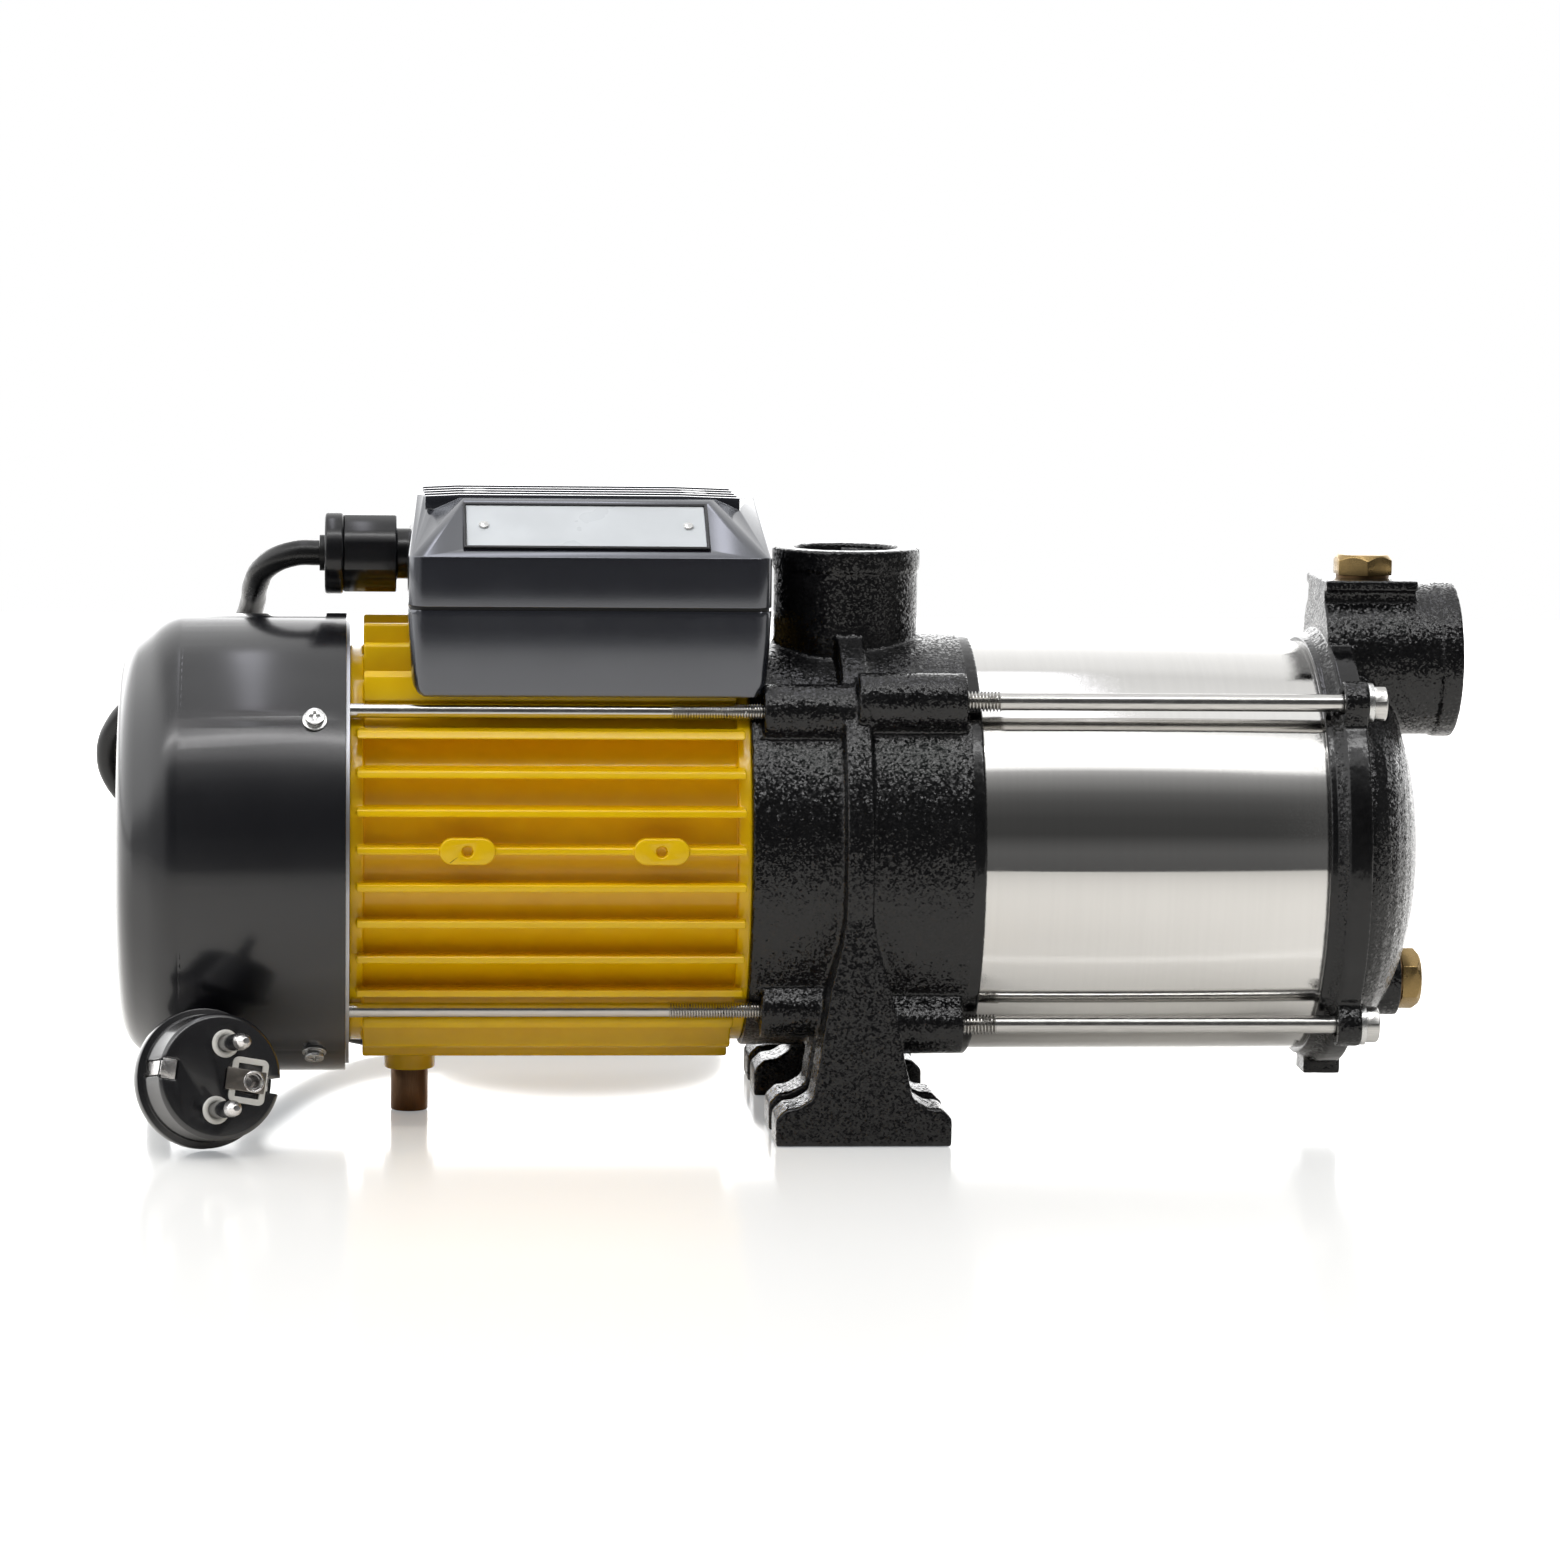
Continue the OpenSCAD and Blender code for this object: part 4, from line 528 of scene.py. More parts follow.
def lean(tree, normal, push, amount):
    """A surface direction pushed a little by a pattern whose middle is a half."""
    middle = add_node(tree, "VectorMath", {"operation": "SUBTRACT"})
    tree.links.new(push, middle.inputs[0])
    middle.inputs[1].default_value = (0.5, 0.5, 0.5)
    scaled = add_node(tree, "VectorMath", {"operation": "SCALE"}, Scale=amount)
    tree.links.new(middle.outputs[0], scaled.inputs[0])
    total = add_node(tree, "VectorMath", {"operation": "ADD"})
    tree.links.new(normal, total.inputs[0])
    tree.links.new(scaled.outputs[0], total.inputs[1])
    even = add_node(tree, "VectorMath", {"operation": "NORMALIZE"})
    tree.links.new(total.outputs[0], even.inputs[0])
    return even.outputs[0]


def black_casting():
    """Gloss black paint over the grains of a sand casting, smooth on the turned joint rings and flange."""
    material, tree, shader = finish("black_casting", (0.004, 0.004, 0.0045), 0.1)
    place = add_node(tree, "SeparateXYZ", Vector=place_of(tree))
    up = calculate(tree, "SUBTRACT", place.outputs["Z"], SHAFT_Z * MM)
    out = calculate(tree, "SQRT", calculate(tree, "ADD", calculate(tree, "MULTIPLY", up, up),
        calculate(tree, "MULTIPLY", place.outputs["Y"], place.outputs["Y"])))
    bracket_joint, cover_joint, flange_band = (
        within(tree, place.outputs["X"], low * MM, high * MM)
        for low, high in (BRACKET_JOINT, COVER_JOINT, FLANGE_BAND))
    rings = calculate(tree, "MAXIMUM", bracket_joint, cover_joint)
    band = calculate(tree, "MULTIPLY", flange_band, within(tree, out, *(radius * MM for radius in FLANGE_BAND_R)))
    rough = rescale(tree, calculate(tree, "MAXIMUM", rings, band), 0.0, 1.0, 1.0, 0.08)
    relief = raise_by(tree, calculate(tree, "MULTIPLY", grain(tree, 1.1, 3.0), rough), 0.2)
    cells = add_node(tree, "TexVoronoi", Vector=place_of(tree), Scale=1 / (0.65 * MM), Randomness=1.0)
    grains = lean(tree, relief, cells.outputs["Color"], calculate(tree, "MULTIPLY", rough, 0.34))
    roughness = rescale(tree, grain(tree, 7.0, 2.0), 0.3, 0.7, 0.11, 0.18)
    shade = blend(tree, rescale(tree, grain(tree, 2.5, 3.0), 0.35, 0.75, 0.0, 1.0), (0.003, 0.003, 0.0035),
        (0.006, 0.006, 0.0065))
    connect(tree, shader, Base_Color=shade, Roughness=roughness, Normal=grains)
    return material


def brushed_barrel():
    """Steel tube polished round its girth, which blurs what it mirrors along the shaft only."""
    colour = (0.76, 0.75, 0.73)
    material, tree, shader = finish("polished_stainless", colour, 0.05, metallic=1.0)
    lines = grain(tree, 0.05, 0.0, (1, 0.2, 0.2))
    along = add_node(tree, "CombineXYZ", X=lines, Y=0.5, Z=0.5)
    facing = add_node(tree, "NewGeometry").outputs["Normal"]
    gloss = rescale(tree, grain(tree, 9.0, 3.0), 0.3, 0.7, 0.04, 0.065)
    shade = blend(tree, patches(tree, grain(tree, 1.5, 3.0, (1, 0.03, 0.03))),
        tuple(0.98 * channel for channel in colour), colour)
    connect(tree, shader, Base_Color=shade, Roughness=gloss, Normal=lean(tree, facing, along.outputs[0], 0.3))
    return material


def yellow_paint():
    """Thick gloss paint on a die casting, with a faint orange peel."""
    material, tree, shader = finish("yellow_paint", (0.89, 0.56, 0.002), 0.2, coat=0.2, coat_roughness=0.08)
    shader.inputs["Specular IOR Level"].default_value = 0.35
    relief = raise_by(tree, grain(tree, 2.6, 2.0), 0.02)
    shade = blend(tree, patches(tree, grain(tree, 9.0, 2.0)), (0.87, 0.535, 0.001), (0.9, 0.575, 0.002))
    roughness = rescale(tree, grain(tree, 5.0, 2.0), 0.3, 0.7, 0.17, 0.24)
    connect(tree, shader, Base_Color=shade, Roughness=roughness, Normal=relief)
    return material


def satin_plastic(name, colour, roughness, grain_size=0.5, depth=0.01, **gloss_layers):
    """Moulded plastic with a fine spark grain and slow changes of gloss."""
    material, tree, shader = finish(name, colour, roughness, **gloss_layers)
    relief = raise_by(tree, grain(tree, grain_size, 2.0), depth)
    relief = raise_by(tree, grain(tree, 30.0, 1.0), 0.12, under=relief)
    gloss = rescale(tree, grain(tree, 18.0, 3.0), 0.3, 0.7, roughness * 0.9, roughness * 1.1)
    light = tuple(1.12 * channel for channel in colour)
    shade = blend(tree, patches(tree, grain(tree, 25.0, 3.0)), colour, light)
    connect(tree, shader, Base_Color=shade, Roughness=gloss, Normal=relief)
    return material


def metal(name, colour, roughness, stretch=(1, 1, 1), depth=0.01):
    """Bare metal with the fine marks that its making leaves, stretched along them."""
    material, tree, shader = finish(name, colour, roughness, metallic=1.0)
    marks = grain(tree, 0.35, 3.0, stretch)
    relief = raise_by(tree, marks, depth)
    gloss = rescale(tree, grain(tree, 4.0, 3.0), 0.3, 0.7, roughness * 0.8, roughness * 1.25)
    dull = tuple(0.86 * channel for channel in colour)
    shade = blend(tree, patches(tree, marks), dull, colour)
    connect(tree, shader, Base_Color=shade, Roughness=gloss, Normal=relief)
    return material


def soft_rubber(name, colour, roughness):
    material, tree, shader = finish(name, colour, roughness)
    relief = raise_by(tree, grain(tree, 0.6, 3.0), 0.03)
    gloss = rescale(tree, grain(tree, 7.0, 3.0), 0.3, 0.7, roughness * 0.85, roughness * 1.15)
    connect(tree, shader, Roughness=gloss, Normal=relief)
    return material


def cast_aluminium():
    material, tree, shader = finish("cast_aluminium", (0.55, 0.56, 0.58), 0.42, metallic=1.0)
    relief = raise_by(tree, grain(tree, 1.2, 3.0), 0.08)
    shade = blend(tree, grain(tree, 6.0, 3.0), (0.48, 0.49, 0.51), (0.62, 0.63, 0.65))
    connect(tree, shader, Base_Color=shade, Normal=relief)
    return material


def laminations():
    """Stacked steel sheets, seen as fine lines across the shaft."""
    material, tree, shader = finish("laminations", (0.3, 0.31, 0.33), 0.4, metallic=1.0)
    sheets = add_node(tree, "TexWave", {"bands_direction": "X"}, Vector=place_of(tree), Scale=1 / (3.2 * MM),
        Distortion=0.0).outputs["Fac"]
    shade = blend(tree, sheets, (0.2, 0.2, 0.22), (0.38, 0.39, 0.41))
    connect(tree, shader, Base_Color=shade, Normal=raise_by(tree, sheets, 0.1))
    return material


def copper_wire():
    """Enamelled wire, laid in fine strands along the slots."""
    material, tree, shader = finish("enamelled_copper", (0.5, 0.17, 0.05), 0.3, metallic=0.6, coat=0.5)
    strands = grain(tree, 0.8, 2.0, (0.08, 1, 1))
    shade = blend(tree, patches(tree, strands), (0.3, 0.08, 0.02), (0.62, 0.25, 0.08))
    connect(tree, shader, Base_Color=shade, Normal=raise_by(tree, strands, 0.3))
    return material


finishes = {
    "black_plastic": satin_plastic("black_plastic", (0.007, 0.0074, 0.0095), 0.24, coat=0.6, coat_roughness=0.15),
    "grey_plastic": satin_plastic("grey_plastic", (0.07, 0.08, 0.09), 0.4),
    "box_plastic": satin_plastic("box_plastic", (0.006, 0.0065, 0.0105), 0.2, coat=1.0, coat_roughness=0.15,
        ior=2.05, tint=(0.86, 0.9, 1.0)),
    "gland_plastic": satin_plastic("gland_plastic", (0.008, 0.0082, 0.0095), 0.2, 0.8, 0.006),
    "pale_plastic": satin_plastic("pale_plastic", (0.7, 0.69, 0.65), 0.4),
    "stage_plastic": satin_plastic("stage_plastic", (0.58, 0.54, 0.45), 0.42),
    "impeller_plastic": satin_plastic("impeller_plastic", (0.66, 0.52, 0.28), 0.4),
    "yellow_paint": yellow_paint(),
    "black_casting": black_casting(),
    "cast_aluminium": cast_aluminium(),
    # The plate's anodised face scatters light as a pale plastic does
    "plate_aluminium": satin_plastic("plate_aluminium", (0.66, 0.69, 0.71), 0.3, 0.3, 0.003),
    "bearing_steel": metal("bearing_steel", (0.6, 0.61, 0.63), 0.18),
    "lamination_steel": laminations(),
    "stainless_steel": metal("stainless_steel", (0.66, 0.65, 0.63), 0.2, (0.06, 1, 1), 0.006),
    "polished_stainless": brushed_barrel(),
    "blackened_steel": metal("blackened_steel", (0.05, 0.05, 0.055), 0.4),
    "bright_steel": metal("bright_steel", (0.78, 0.78, 0.77), 0.24),
    "chrome_pins": metal("chrome_pins", (0.82, 0.8, 0.79), 0.26),
    "contact_nickel": metal("contact_nickel", (0.34, 0.31, 0.28), 0.34),
    "enamelled_copper": copper_wire(),
    "bronze_sleeve": metal("bronze_sleeve", (0.24, 0.14, 0.08), 0.38, (1, 1, 0.1), 0.02),
    "brass": metal("brass", (0.4, 0.275, 0.115), 0.3),
    "black_rubber": soft_rubber("black_rubber", (0.009, 0.009, 0.0095), 0.45),
    "cord_rubber": soft_rubber("cord_rubber", (0.008, 0.008, 0.0085), 0.3),
    "plug_rubber": satin_plastic("plug_rubber", (0.008, 0.008, 0.0095), 0.24, 0.5, 0.012, ior=1.7, coat=0.6),
    "ceramic": satin_plastic("ceramic", (0.76, 0.74, 0.68), 0.2),
    "carbon": satin_plastic("carbon", (0.03, 0.03, 0.033), 0.34),
    "fibre_washer": metal("fibre_washer", (0.2, 0.12, 0.055), 0.4),
}
for node, piece in nodes.items():
    piece.data.materials.clear()
    piece.data.materials.append(finishes[slot_of[node]])


# Camera, light and floor, in metres and degrees

CAMERA_AT = (-0.1485, -1.600, 0.2817)
CAMERA_YAW = -4.58
CAMERA_DIP = 6.5
CAMERA_ROLL = 0.7
CAMERA_LENS = 125.27
SENSOR_W = 36

# The room's brightness by its angle round the shaft, as the barrel and the fan cover mirror it
ROOM = [
    (-180, 1.2), (-90, 0.4), (-20, 0.12), (-8, 0.1), (2, 0.12), (6, 0.1), (12, 0.055), (21, 0.06),
    (30, 0.09), (35, 0.13), (39.5, 0.22), (44.5, 0.33), (48.5, 0.55), (50, 1.5), (59.5, 1.7), (60, 12.0),
    (62, 12.0), (62.5, 1.7), (71, 1.5), (74, 1.0), (96, 1.1), (103, 0.92), (116, 0.85), (124, 1.0),
    (133, 1.07), (143, 1.2), (156, 1.5), (163, 3.0), (180, 3.0),
]
ROOM_PEAK = 12.0

# A second softbox above, which the lid's slope mirrors: its angles and its reach along the shaft
SLOPE_LEVEL = 3.6
SLOPE_TINT = 1.08
SLOPE_ANGLES = (76, 118)
SLOPE_REACH = (-0.1, -0.01)

# The room's left and right ends, each from where along the shaft it takes over
LEFT_REACH = (-0.4, -0.7)
LEFT_LOW_LEVEL = 0.4
LEFT_LEVEL = 1.8
LEFT_RISE = (20, 60)
RIGHT_REACH = (0.45, 0.7)
RIGHT_LEVEL = 0.14
RIGHT_BACK_LEVEL = 1.3
RIGHT_BACK = (0.25, 0.6)

TABLE_FRONT = -0.59
TABLE_BACK = 1.76
TABLE_HALF_LEN = 2.2


def look_from_the_photo():
    """The photograph's viewpoint: in front of the motor, turned a little right and down."""
    bpy.ops.object.camera_add(location=CAMERA_AT)
    camera = bpy.context.object
    turn = Matrix.Rotation(radians(CAMERA_YAW), 4, "Z") @ Matrix.Rotation(radians(90 - CAMERA_DIP), 4, "X")
    turn = turn @ Matrix.Rotation(radians(CAMERA_ROLL), 4, "Z")
    camera.matrix_world = Matrix.Translation(camera.location) @ turn
    camera.data.lens = CAMERA_LENS
    camera.data.sensor_width = SENSOR_W
    camera.data.clip_start = 0.05
    camera.data.clip_end = 60
    scene.camera = camera


def room_ramp(tree, share):
    """The room's brightness as a colour, from a share of the full turn round the shaft."""
    ramp = add_node(tree, "ValToRGB", Fac=share)
    band = ramp.color_ramp
    while len(band.elements) < len(ROOM):
        band.elements.new(0.5)
    for element, (degrees, level) in zip(band.elements, ROOM):
        element.position = degrees / 360 + 0.5
        element.color = (level / ROOM_PEAK, level / ROOM_PEAK, level / ROOM_PEAK, 1)
    return ramp.outputs["Color"]


def studio():
    """A white room: a table, a dark front wall, a softbox high in front and a bright back wall.

    All of it runs straight along the shaft, as the reflections on the barrel show. An angle of 0 is
    level to the front, 90 straight up and 180 level to the back.
    """
    world = bpy.data.worlds.new("studio")
    scene.world = world
    world.use_nodes = True
    tree = world.node_tree
    tree.nodes.clear()
    way = add_node(tree, "SeparateXYZ", Vector=add_node(tree, "TexCoord").outputs["Generated"])
    angle = calculate(tree, "ARCTAN2", way.outputs["Z"], calculate(tree, "MULTIPLY", way.outputs["Y"], -1.0))
    share = rescale(tree, angle, -pi, pi, 0.0, 1.0, "LINEAR")
    across = way.outputs["X"]
    room = room_ramp(tree, share)
    slope = calculate(tree, "MULTIPLY", within(tree, across, *SLOPE_REACH, 0.03),
        within(tree, angle, *(radians(limit) for limit in SLOPE_ANGLES), 0.05))
    softbox = SLOPE_LEVEL / ROOM_PEAK
    room = blend(tree, slope, room, (softbox, softbox, SLOPE_TINT * softbox))
    low, high = (radians(limit) for limit in LEFT_RISE)
    left = rescale(tree, angle, low, high, LEFT_LOW_LEVEL / ROOM_PEAK, LEFT_LEVEL / ROOM_PEAK)
    room = blend(tree, rescale(tree, across, *LEFT_REACH, 0.0, 1.0), room, even_colour(tree, left))
    right = rescale(tree, way.outputs["Y"], *RIGHT_BACK, RIGHT_LEVEL / ROOM_PEAK, RIGHT_BACK_LEVEL / ROOM_PEAK)
    room = blend(tree, rescale(tree, across, *RIGHT_REACH, 0.0, 1.0), room, even_colour(tree, right))
    seen = add_node(tree, "LightPath").outputs["Is Camera Ray"]
    colour = blend(tree, seen, room, (1, 1, 1))
    level = calculate(tree, "ADD", calculate(tree, "MULTIPLY", seen, 1 - ROOM_PEAK), ROOM_PEAK)
    sky = add_node(tree, "Background", Color=colour, Strength=level)
    tree.links.new(sky.outputs[0], add_node(tree, "OutputWorld").inputs["Surface"])


def white_floor():
    """A white table top that ends in front of the pump, just below the picture."""
    bpy.ops.mesh.primitive_plane_add(size=2, location=(0, (TABLE_BACK + TABLE_FRONT) / 2, -0.0002))
    floor = bpy.context.object
    floor.name = "floor"
    edit(floor)
    bpy.ops.mesh.subdivide(number_cuts=8)
    leave_edit()
    floor.scale = (TABLE_HALF_LEN, (TABLE_BACK - TABLE_FRONT) / 2, 1)
    settle(floor)
    material, tree, shader = finish("white_table", (0.91, 0.89, 0.85), 0.12)
    shader.inputs["Specular IOR Level"].default_value = 0.3
    seen = add_node(tree, "LightPath").outputs["Is Camera Ray"]
    glow = add_node(tree, "Emission", Color=(0.9, 0.95, 1, 1), Strength=calculate(tree, "MULTIPLY", seen, 0.27))
    both = add_node(tree, "AddShader")
    tree.links.new(shader.outputs[0], both.inputs[0])
    tree.links.new(glow.outputs[0], both.inputs[1])
    tree.links.new(both.outputs[0], tree.nodes["Material Output"].inputs["Surface"])
    floor.data.materials.append(material)


# Mains lead

def coil_points():
    """Turns of the coil: in along the lower layer, up at its middle, out along the upper one."""
    points = []
    for step in range(int(COIL_TURNS * COIL_STEPS) + 1):
        t = step / COIL_STEPS
        radius = COIL_MID_D / 2 + COIL_PITCH * (abs(t - COIL_TURNS / 2) - COIL_TURNS / 4)
        climb = min(1, max(0, (t - COIL_TURNS / 2) * 2 + 0.5))
        angle = 2 * pi * t - pi / 2
        points.append((COIL_CENTRE[0] + radius * cos(angle), COIL_CENTRE[1] + radius * sin(angle),
            COIL_CENTRE[2] + COIL_LAYER * (1 - cos(pi * climb)) / 2))
    return points


def mains_lead(pieces_on_it):
    route = LEAD_POINTS + coil_points() + TAIL_POINTS
    curve = bpy.data.curves.new("mains_lead", "CURVE")
    curve.dimensions = "3D"
    curve.resolution_u = 5
    curve.bevel_depth = CORD_D / 2 * MM
    curve.bevel_resolution = 5
    curve.use_fill_caps = True
    spline = curve.splines.new("BEZIER")
    spline.bezier_points.add(len(route) - 1)
    for knot, point in zip(spline.bezier_points, route):
        knot.co = Vector(point) * MM
        knot.handle_left_type = "AUTO"
        knot.handle_right_type = "AUTO"
    piece = bpy.data.objects.new("mains_lead", curve)
    scene.collection.objects.link(piece)
    piece.data.materials.append(finishes["cord_rubber"])
    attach(piece, "pump")
    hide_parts("power_cord_lead", "power_cord_coil", "power_cord_tail")


# Castings

def casting(name, node, voxel, smoothing, faces, *added):
    """A cast piece: the node's shape with every edge and corner run round, and a slightly uneven skin."""
    piece = own_copy(name, node)
    if added:
        trim_ears(piece)
        piece = join(name, piece, *added)
    apply_modifier(piece, "REMESH", mode="VOXEL", voxel_size=voxel * MM, use_smooth_shade=True)
    feet = piece.vertex_groups.new(name="feet")
    for vertex in piece.data.vertices:
        feet.add([vertex.index], min(1, max(0, (FEET_Z - vertex.co.z / MM) / FEET_BLEND)), "REPLACE")
    apply_modifier(piece, "SMOOTH", factor=0.5, iterations=FEET_ROUNDS, vertex_group="feet")
    apply_modifier(piece, "SMOOTH", factor=0.5, iterations=smoothing)
    skin = bpy.data.textures.new(name + "_skin", "CLOUDS")
    skin.noise_scale = SKIN_SIZE * MM
    apply_modifier(piece, "DISPLACE", texture=skin, texture_coords="LOCAL", strength=SKIN_DEPTH * MM,
        mid_level=0.5)
    apply_modifier(piece, "DECIMATE", ratio=faces / (2 * len(piece.data.polygons)))
    smooth(piece)
    return mount(piece, nodes[node]["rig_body"], slot_of[node], finishes["black_casting"], node)


def trim_ears(piece):
    """Draws the ears of the flange in towards their rods."""
    for angle in ROD_ANGLES:
        turn = radians(angle)
        rod = Vector((PUMP_ROD_CIRCLE * cos(turn), SHAFT_Z + PUMP_ROD_CIRCLE * sin(turn))) * MM
        for vertex in piece.data.vertices:
            away = Vector(vertex.co.yz) - rod
            if vertex.co.x > FLANGE_X0 * MM and abs(away.length - EAR_R * MM) < EAR_SKIN * MM:
                vertex.co.y = rod.x + away.x * TRIMMED_EAR_R / EAR_R
                vertex.co.z = rod.y + away.y * TRIMMED_EAR_R / EAR_R


def port_thread(name, near_end, length):
    """The G1 thread inside a port, as a thin wound sleeve."""
    piece = thread_x(name, 0, length, G1_ROOT_R, G1_CREST_R, G1_PITCH, 48)
    edit(piece)
    bpy.ops.mesh.normals_make_consistent(inside=True)
    leave_edit()
    apply_modifier(piece, "SOLIDIFY", thickness=G1_SLEEVE_T * MM, offset=-1)
    piece.data.transform(near_end)
    smooth(piece, 25)
    return mount(piece, "pump", "black_casting", finishes["black_casting"])


# Fasteners

def hex_head(name, x0, x1, across_flats):
    """A hexagon head with its corners turned off at the outer end."""
    head = cylinder_x(name, x0, x1, across_flats / 2 / cos(pi / 6), 6)
    cutter = cylinder_x(name + "_cone", x0 - 1, x1, across_flats / 2 + 0.35, 48)
    bevel_where(cutter, lambda p: p.x > x1 - 0.01, 0.9, 3)
    apply_modifier(head, "BOOLEAN", object=cutter, operation="INTERSECT", solver="EXACT")
    bpy.data.objects.remove(cutter)
    soften(head, 0.12)
    return head


def tie_rods():
    """Eight tie rods: threaded where they enter the bracket, with hexagon or round heads."""
    low, high = (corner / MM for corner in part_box("pump_tie_bolts"))
    thread_end = low.x + ROD_THREAD_REACH
    rod = join("pump_tie_rod",
        cylinder_x("shank", thread_end - ROD_OVERLAP, high.x - PUMP_HEAD_H + ROD_OVERLAP, PUMP_SHANK_R),
        capped(thread_x("thread", low.x + ROD_THREAD_HIDDEN, thread_end, PUMP_ROOT_R, PUMP_ROD_R, M6_PITCH)),
        hex_head("head", high.x - PUMP_HEAD_H, high.x, PUMP_HEAD_AF))
    finish_rods(rod, PUMP_ROD_CIRCLE, "pump_tie_bolts")
    low, high = (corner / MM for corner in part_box("motor_tie_bolts"))
    thread_start = high.x - MOTOR_ROD_BURIED - ROD_THREAD_REACH
    thread_end = high.x - ROD_THREAD_HIDDEN
    rod = join("motor_tie_rod",
        cylinder_x("shank", low.x + MOTOR_HEAD_H - ROD_OVERLAP / 2, thread_start + ROD_OVERLAP, MOTOR_SHANK_R),
        capped(thread_x("thread", thread_start, thread_end, MOTOR_ROOT_R, MOTOR_ROD_R, M5_PITCH)),
        rounded_head("head", low.x, low.x + MOTOR_HEAD_H, MOTOR_HEAD_R))
    finish_rods(rod, MOTOR_ROD_CIRCLE, "motor_tie_bolts")


def rounded_head(name, x0, x1, radius):
    head = cylinder_x(name, x0, x1, radius)
    bevel_where(head, lambda p: p.x < x0 + 0.01, 1.2, 4)
    return head


def finish_rods(rod, circle, node):
    smooth(rod, 32)
    for piece in copies_round_shaft(rod, circle, ROD_ANGLES):
        mount(piece, "pump", "stainless_steel", finishes["stainless_steel"], node)


# Motor side

def fan_cover():
    """The cover with its end run round in one sweep from the drum to the flat grille."""
    cover = own_copy("fan_cover_shell", "fan_cover")
    cut(cover, turned("corner_room", COVER_CUT))
    soften(cover, 0.3)
    outer = round_corner(*COVER_SHOULDER) + round_corner(*COVER_NOSE)
    inner = [(along + COVER_WALL, radius - COVER_WALL) for along, radius in reversed(outer)]
    shell = turned("corner_shell", outer + inner, 160)
    smooth(shell, 40)
    cover = join("fan_cover_shell", cover, shell)
    mount(cover, "pump", "black_plastic", finishes["black_plastic"], "fan_cover")


def nameplate():
    """A bare plate on the slope of the lid, inside a thin raised frame."""
    slope = atan(2 * LID_RISE / (BOX_W - RIDGE_W))
    middle_up = PLATE_SHARE * (BOX_W - RIDGE_W) / 2 / cos(slope)
    place = Matrix.Translation(Vector((BOX_MID_X + PLATE_SHIFT, -BOX_W / 2, LID_BAND_Z)) * MM)
    place = place @ Matrix.Rotation(slope, 4, "X") @ Matrix.Translation(Vector((0, middle_up, -PLATE_SINK)) * MM)
    bpy.ops.mesh.primitive_cube_add(size=1, location=(0, 0, PLATE_T / 2 * MM))
    plate = bpy.context.object
    plate.name = "rating_plate"
    plate.scale = (PLATE_LEN * MM, PLATE_W * MM, PLATE_T * MM)
    settle(plate)
    bevel_where(plate, lambda p: True, 0.2, 2)
    plate.data.transform(place)
    mount(plate, "pump", "plate_aluminium", finishes["plate_aluminium"], "nameplate")
    bpy.ops.mesh.primitive_plane_add(size=1)
    rim = bpy.context.object
    rim.name = "plate_frame"
    rim.scale = ((PLATE_LEN + FRAME_ROOM) * MM, (PLATE_W + FRAME_ROOM) * MM, 1)
    settle(rim)
    edit(rim)
    bpy.ops.mesh.inset(thickness=FRAME_W * MM)
    bpy.ops.mesh.delete(type="FACE")
    leave_edit()
    apply_modifier(rim, "SOLIDIFY", thickness=FRAME_H * MM, offset=1)
    soften(rim, 0.15)
    rim.data.transform(place)
    mount(rim, "pump", "box_plastic", finishes["gland_plastic"])


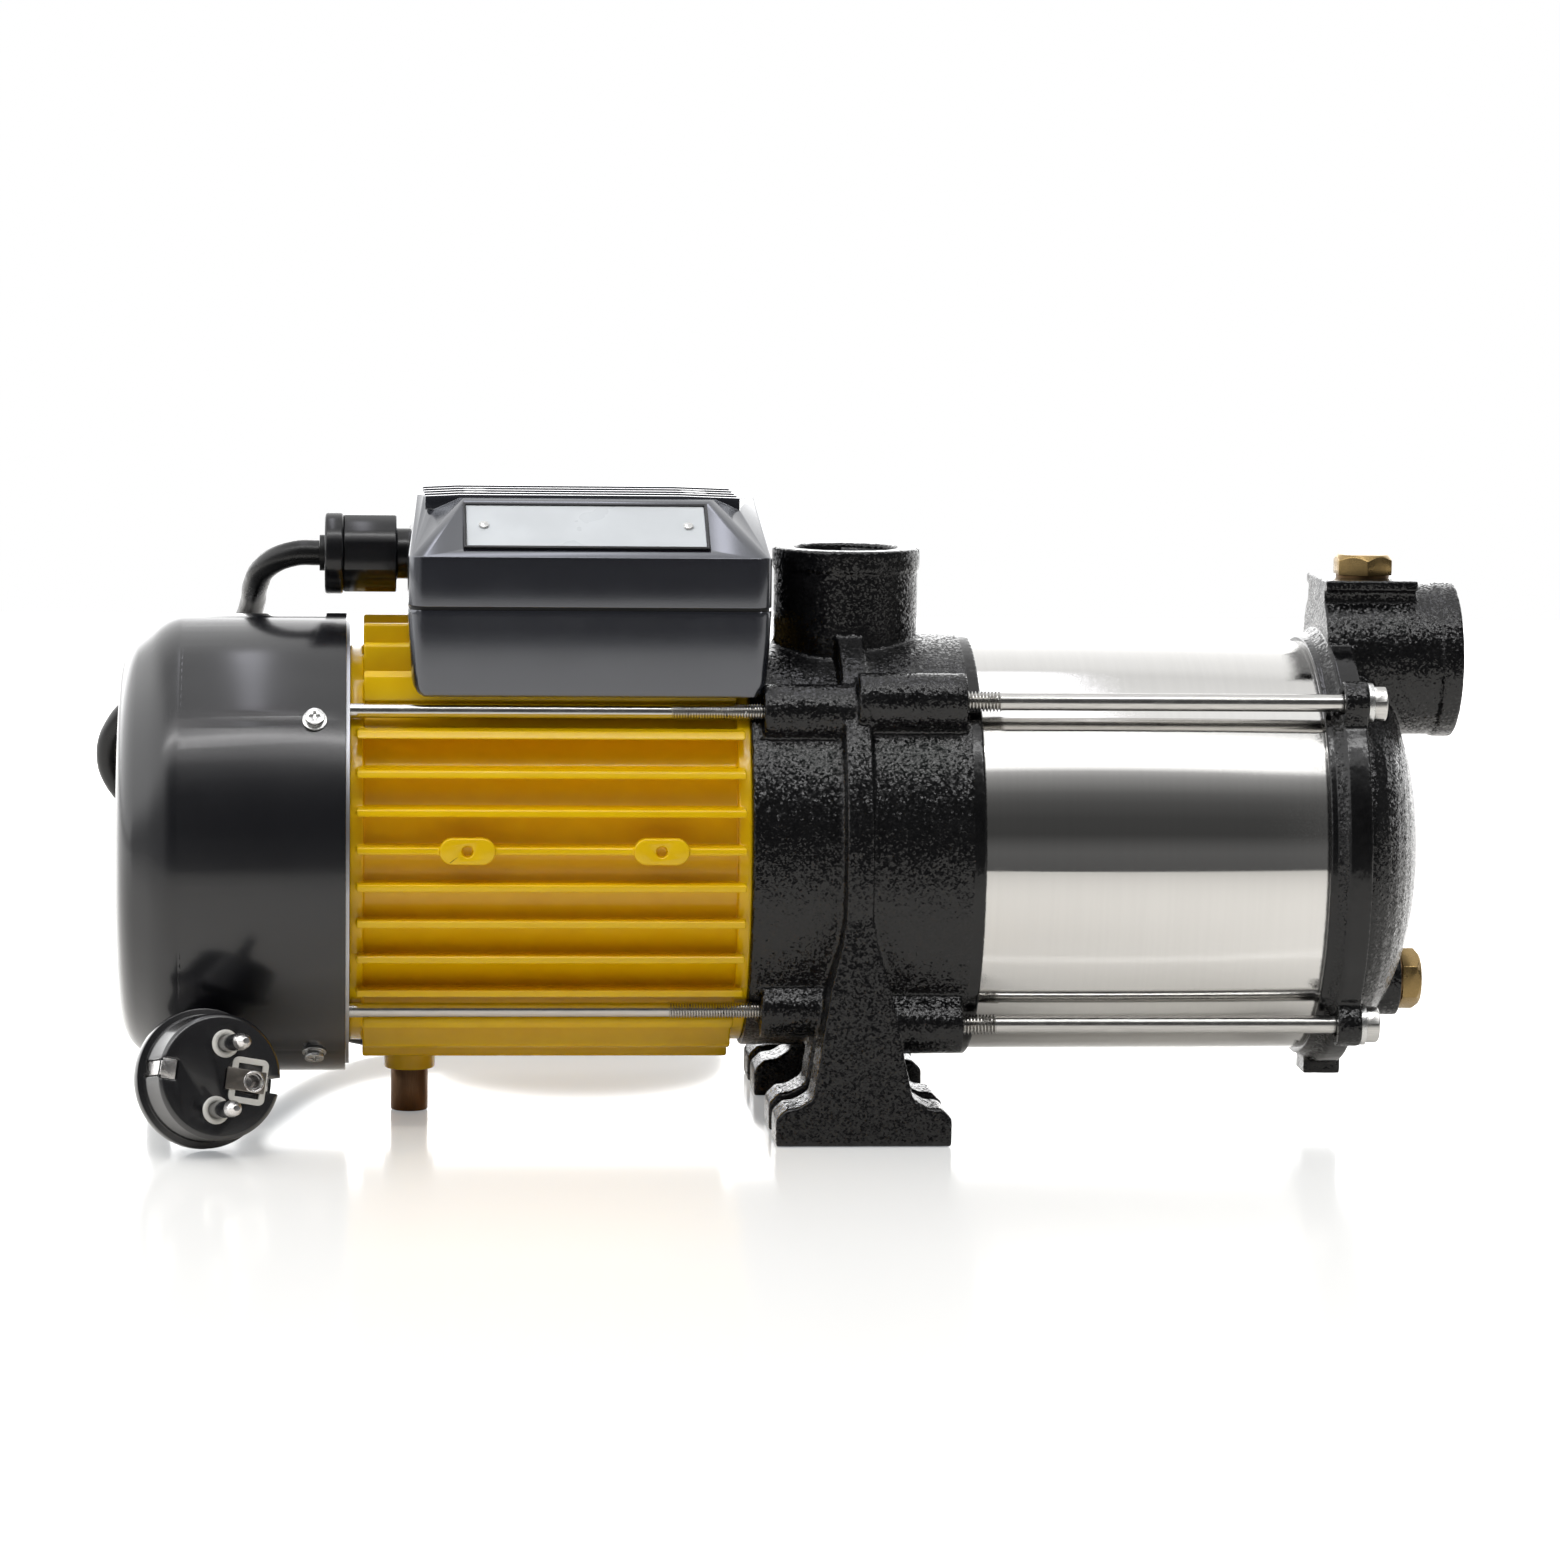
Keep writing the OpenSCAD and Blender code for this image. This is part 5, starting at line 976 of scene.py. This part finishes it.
def plug():
    """The plug's own shape, its pins with their black sleeves, and the pale parts of its face."""
    body = soft_copy("plug_shell", "plug_body", 0.35, finishes["plug_rubber"])
    pins = own_copy("plug_prongs", "plug_pins")
    soften(pins, 0.1)
    mount(pins, "pump", "chrome_pins", finishes["chrome_pins"], "plug_pins")
    pins.data.materials.append(finishes["plug_rubber"])
    place = Matrix.Translation(Vector(PLUG_AT) * MM) @ Matrix.Rotation(radians(PLUG_YAW), 4, "Z")
    place = place @ Matrix.Rotation(radians(90 - PLUG_LIFT), 4, "X") @ Matrix.Rotation(radians(PLUG_ROLL), 4, "Z")
    to_plug = place.inverted()
    for face in pins.data.polygons:
        if (to_plug @ face.center).z < SLEEVE_SHARE * PIN_LEN * MM:
            face.material_index = 1
    made = [body, pins]
    for side, name in ((-1, "pin_collar_left"), (1, "pin_collar_right")):
        collar = torus(name, COLLAR_R, COLLAR_WIRE_R, (0, side * PIN_SPACING / 2, 0))
        edit(collar)
        bpy.ops.transform.resize(value=(1, 1, COLLAR_FLATNESS))
        leave_edit()
        collar.data.transform(place)
        smooth(collar)
        made.append(mount(collar, "pump", "pale_plastic", finishes["pale_plastic"]))
    made.append(soft_copy("plug_contacts", "plug_earth_clips", 0.12, finishes["chrome_pins"]))
    surround = plate("earth_surround", SURROUND_SIZE, 1.8, 1.0, rim=SURROUND_RIM)
    surround.data.transform(place @ Matrix.Translation(Vector((SURROUND_OFFSET, 0, 0)) * MM))
    made.append(mount(surround, "pump", "pale_plastic", finishes["pale_plastic"]))
    contact = plate("earth_contact", CONTACT_SIZE, 0.4, 0.5)
    contact.data.transform(Matrix.Translation(Vector((CONTACT_OFFSET, 0, CONTACT_UP)) * MM))
    bpy.ops.mesh.primitive_cylinder_add(vertices=40, radius=EARTH_SOCKET_R * MM, depth=6 * MM,
        location=(EARTH_OFFSET * MM, 0, 0))
    cut(contact, bpy.context.object)
    contact.data.transform(place)
    made.append(mount(contact, "pump", "bright_steel", finishes["contact_nickel"]))
    ring = torus("earth_ring", EARTH_RING_R, EARTH_RING_WIRE_R, (EARTH_OFFSET, 0, EARTH_RING_UP))
    ring.data.transform(place)
    smooth(ring)
    made.append(mount(ring, "pump", "chrome_pins", finishes["chrome_pins"]))
    return made


def plate(name, size, corner, thickness, rim=None):
    """A flat plate with round corners that stands on its own plane, or only its rim where one is given."""
    bpy.ops.mesh.primitive_plane_add(size=1)
    piece = bpy.context.object
    piece.name = name
    piece.scale = (size[0] * MM, size[1] * MM, 1)
    settle(piece)
    edit(piece)
    bpy.ops.mesh.bevel(offset=corner * MM, segments=5, affect="VERTICES")
    if rim:
        bpy.ops.mesh.select_all(action="SELECT")
        bpy.ops.mesh.inset(thickness=rim * MM)
        bpy.ops.mesh.delete(type="FACE")
    leave_edit()
    apply_modifier(piece, "SOLIDIFY", thickness=thickness * MM, offset=1)
    soften(piece, 0.12)
    return piece


# Terminal box

def shallow_ribs(piece):
    """Brings the lid's ridge up to just below its ribs, with the slopes following it."""
    for vertex in piece.data.vertices:
        z = vertex.co.z / MM
        if z > RIDGE_Z:
            z = RIDGE_Z + RIDGE_LIFT + (z - RIDGE_Z) * (1 - RIDGE_LIFT / RIB_H)
        elif z > LID_BAND_Z:
            z += RIDGE_LIFT * (z - LID_BAND_Z) / (RIDGE_Z - LID_BAND_Z)
        vertex.co.z = z * MM
    return piece


def box_base():
    """The base of the terminal box, whose sides curve under in one sweep towards the motor."""
    piece = own_copy("box_base", "terminal_box_base")
    apply_modifier(piece, "REMESH", mode="VOXEL", voxel_size=0.6 * MM, use_smooth_shade=True)
    low = piece.vertex_groups.new(name="low")
    for vertex in piece.data.vertices:
        z = vertex.co.z / MM
        if z < BOX_TURN_Z:
            inward = BOX_TURN_R - (BOX_TURN_R ** 2 - (BOX_TURN_Z - z) ** 2) ** 0.5
            vertex.co.y *= 1 - inward / (BOX_W / 2)
            vertex.co.x += (BOX_MID_X * MM - vertex.co.x) * BOX_END_SHARE * inward / (BOX_W / 2)
        low.add([vertex.index], min(1, max(0, (BOX_LOW_Z - z) / BOX_LOW_BLEND)), "REPLACE")
    apply_modifier(piece, "SMOOTH", factor=0.5, iterations=BOX_LOW_ROUNDS, vertex_group="low")
    apply_modifier(piece, "DECIMATE", ratio=90000 / (2 * len(piece.data.polygons)))
    smooth(piece, 50)
    mount(piece, "pump", "box_plastic", finishes["box_plastic"], "terminal_box_base")


look_from_the_photo()
studio()
white_floor()
mains_lead(plug())
casting("bracket_casting", "pump_bracket", 0.7, 2, 185000)
casting("suction_casting", "suction_cover", 0.6, 2, 150000, turned("lip_ring", SUCTION_RING, 160))
port_thread("outlet_thread", Matrix.Translation(Vector((OUTLET_X, 0, OUTLET_TOP - PORT_THREAD)) * MM)
    @ Matrix.Rotation(-pi / 2, 4, "Y"), PORT_THREAD - PORT_LEAD_IN)
port_thread("suction_thread", Matrix.Translation(Vector((SUCTION_X - PORT_THREAD, 0, SUCTION_Z)) * MM),
    PORT_THREAD - PORT_LEAD_IN)
fan_cover()
soft_copy("motor_body", "motor_housing", 0.6, finishes["yellow_paint"], 3)
tie_rods()
soft_copy("barrel", "pump_barrel", 0.25, finishes["polished_stainless"])
box_base()
shallow_ribs(soft_copy("box_lid", "terminal_box_lid", 0.3, finishes["box_plastic"], 3))
nameplate()
soft_copy("gland_body", "cable_gland_body", 0.5, finishes["gland_plastic"], 3)
soft_copy("gland_nut", "cable_gland_nut", 0.8, finishes["gland_plastic"], 3)
soft_copy("priming_screw", "priming_plug", 0.25, finishes["brass"])
soft_copy("drain_screw", "drain_plug", 0.25, finishes["brass"])
soft_copy("cover_screws", "fan_cover_screws", 0.2, finishes["bright_steel"])
soft_copy("cover_washers", "fan_cover_washers", 0.2, finishes["bright_steel"])
soft_copy("rod_washers", "pump_tie_washers", 0.15, finishes["bright_steel"])
soft_copy("support_sleeve", "motor_foot", 0.4, finishes["bronze_sleeve"])
shallow_ribs(soft_copy("lid_screws", "terminal_box_screws", 0.2, finishes["blackened_steel"]))
shallow_ribs(soft_copy("plate_rivets", "nameplate_rivets", 0.3, finishes["bright_steel"]))
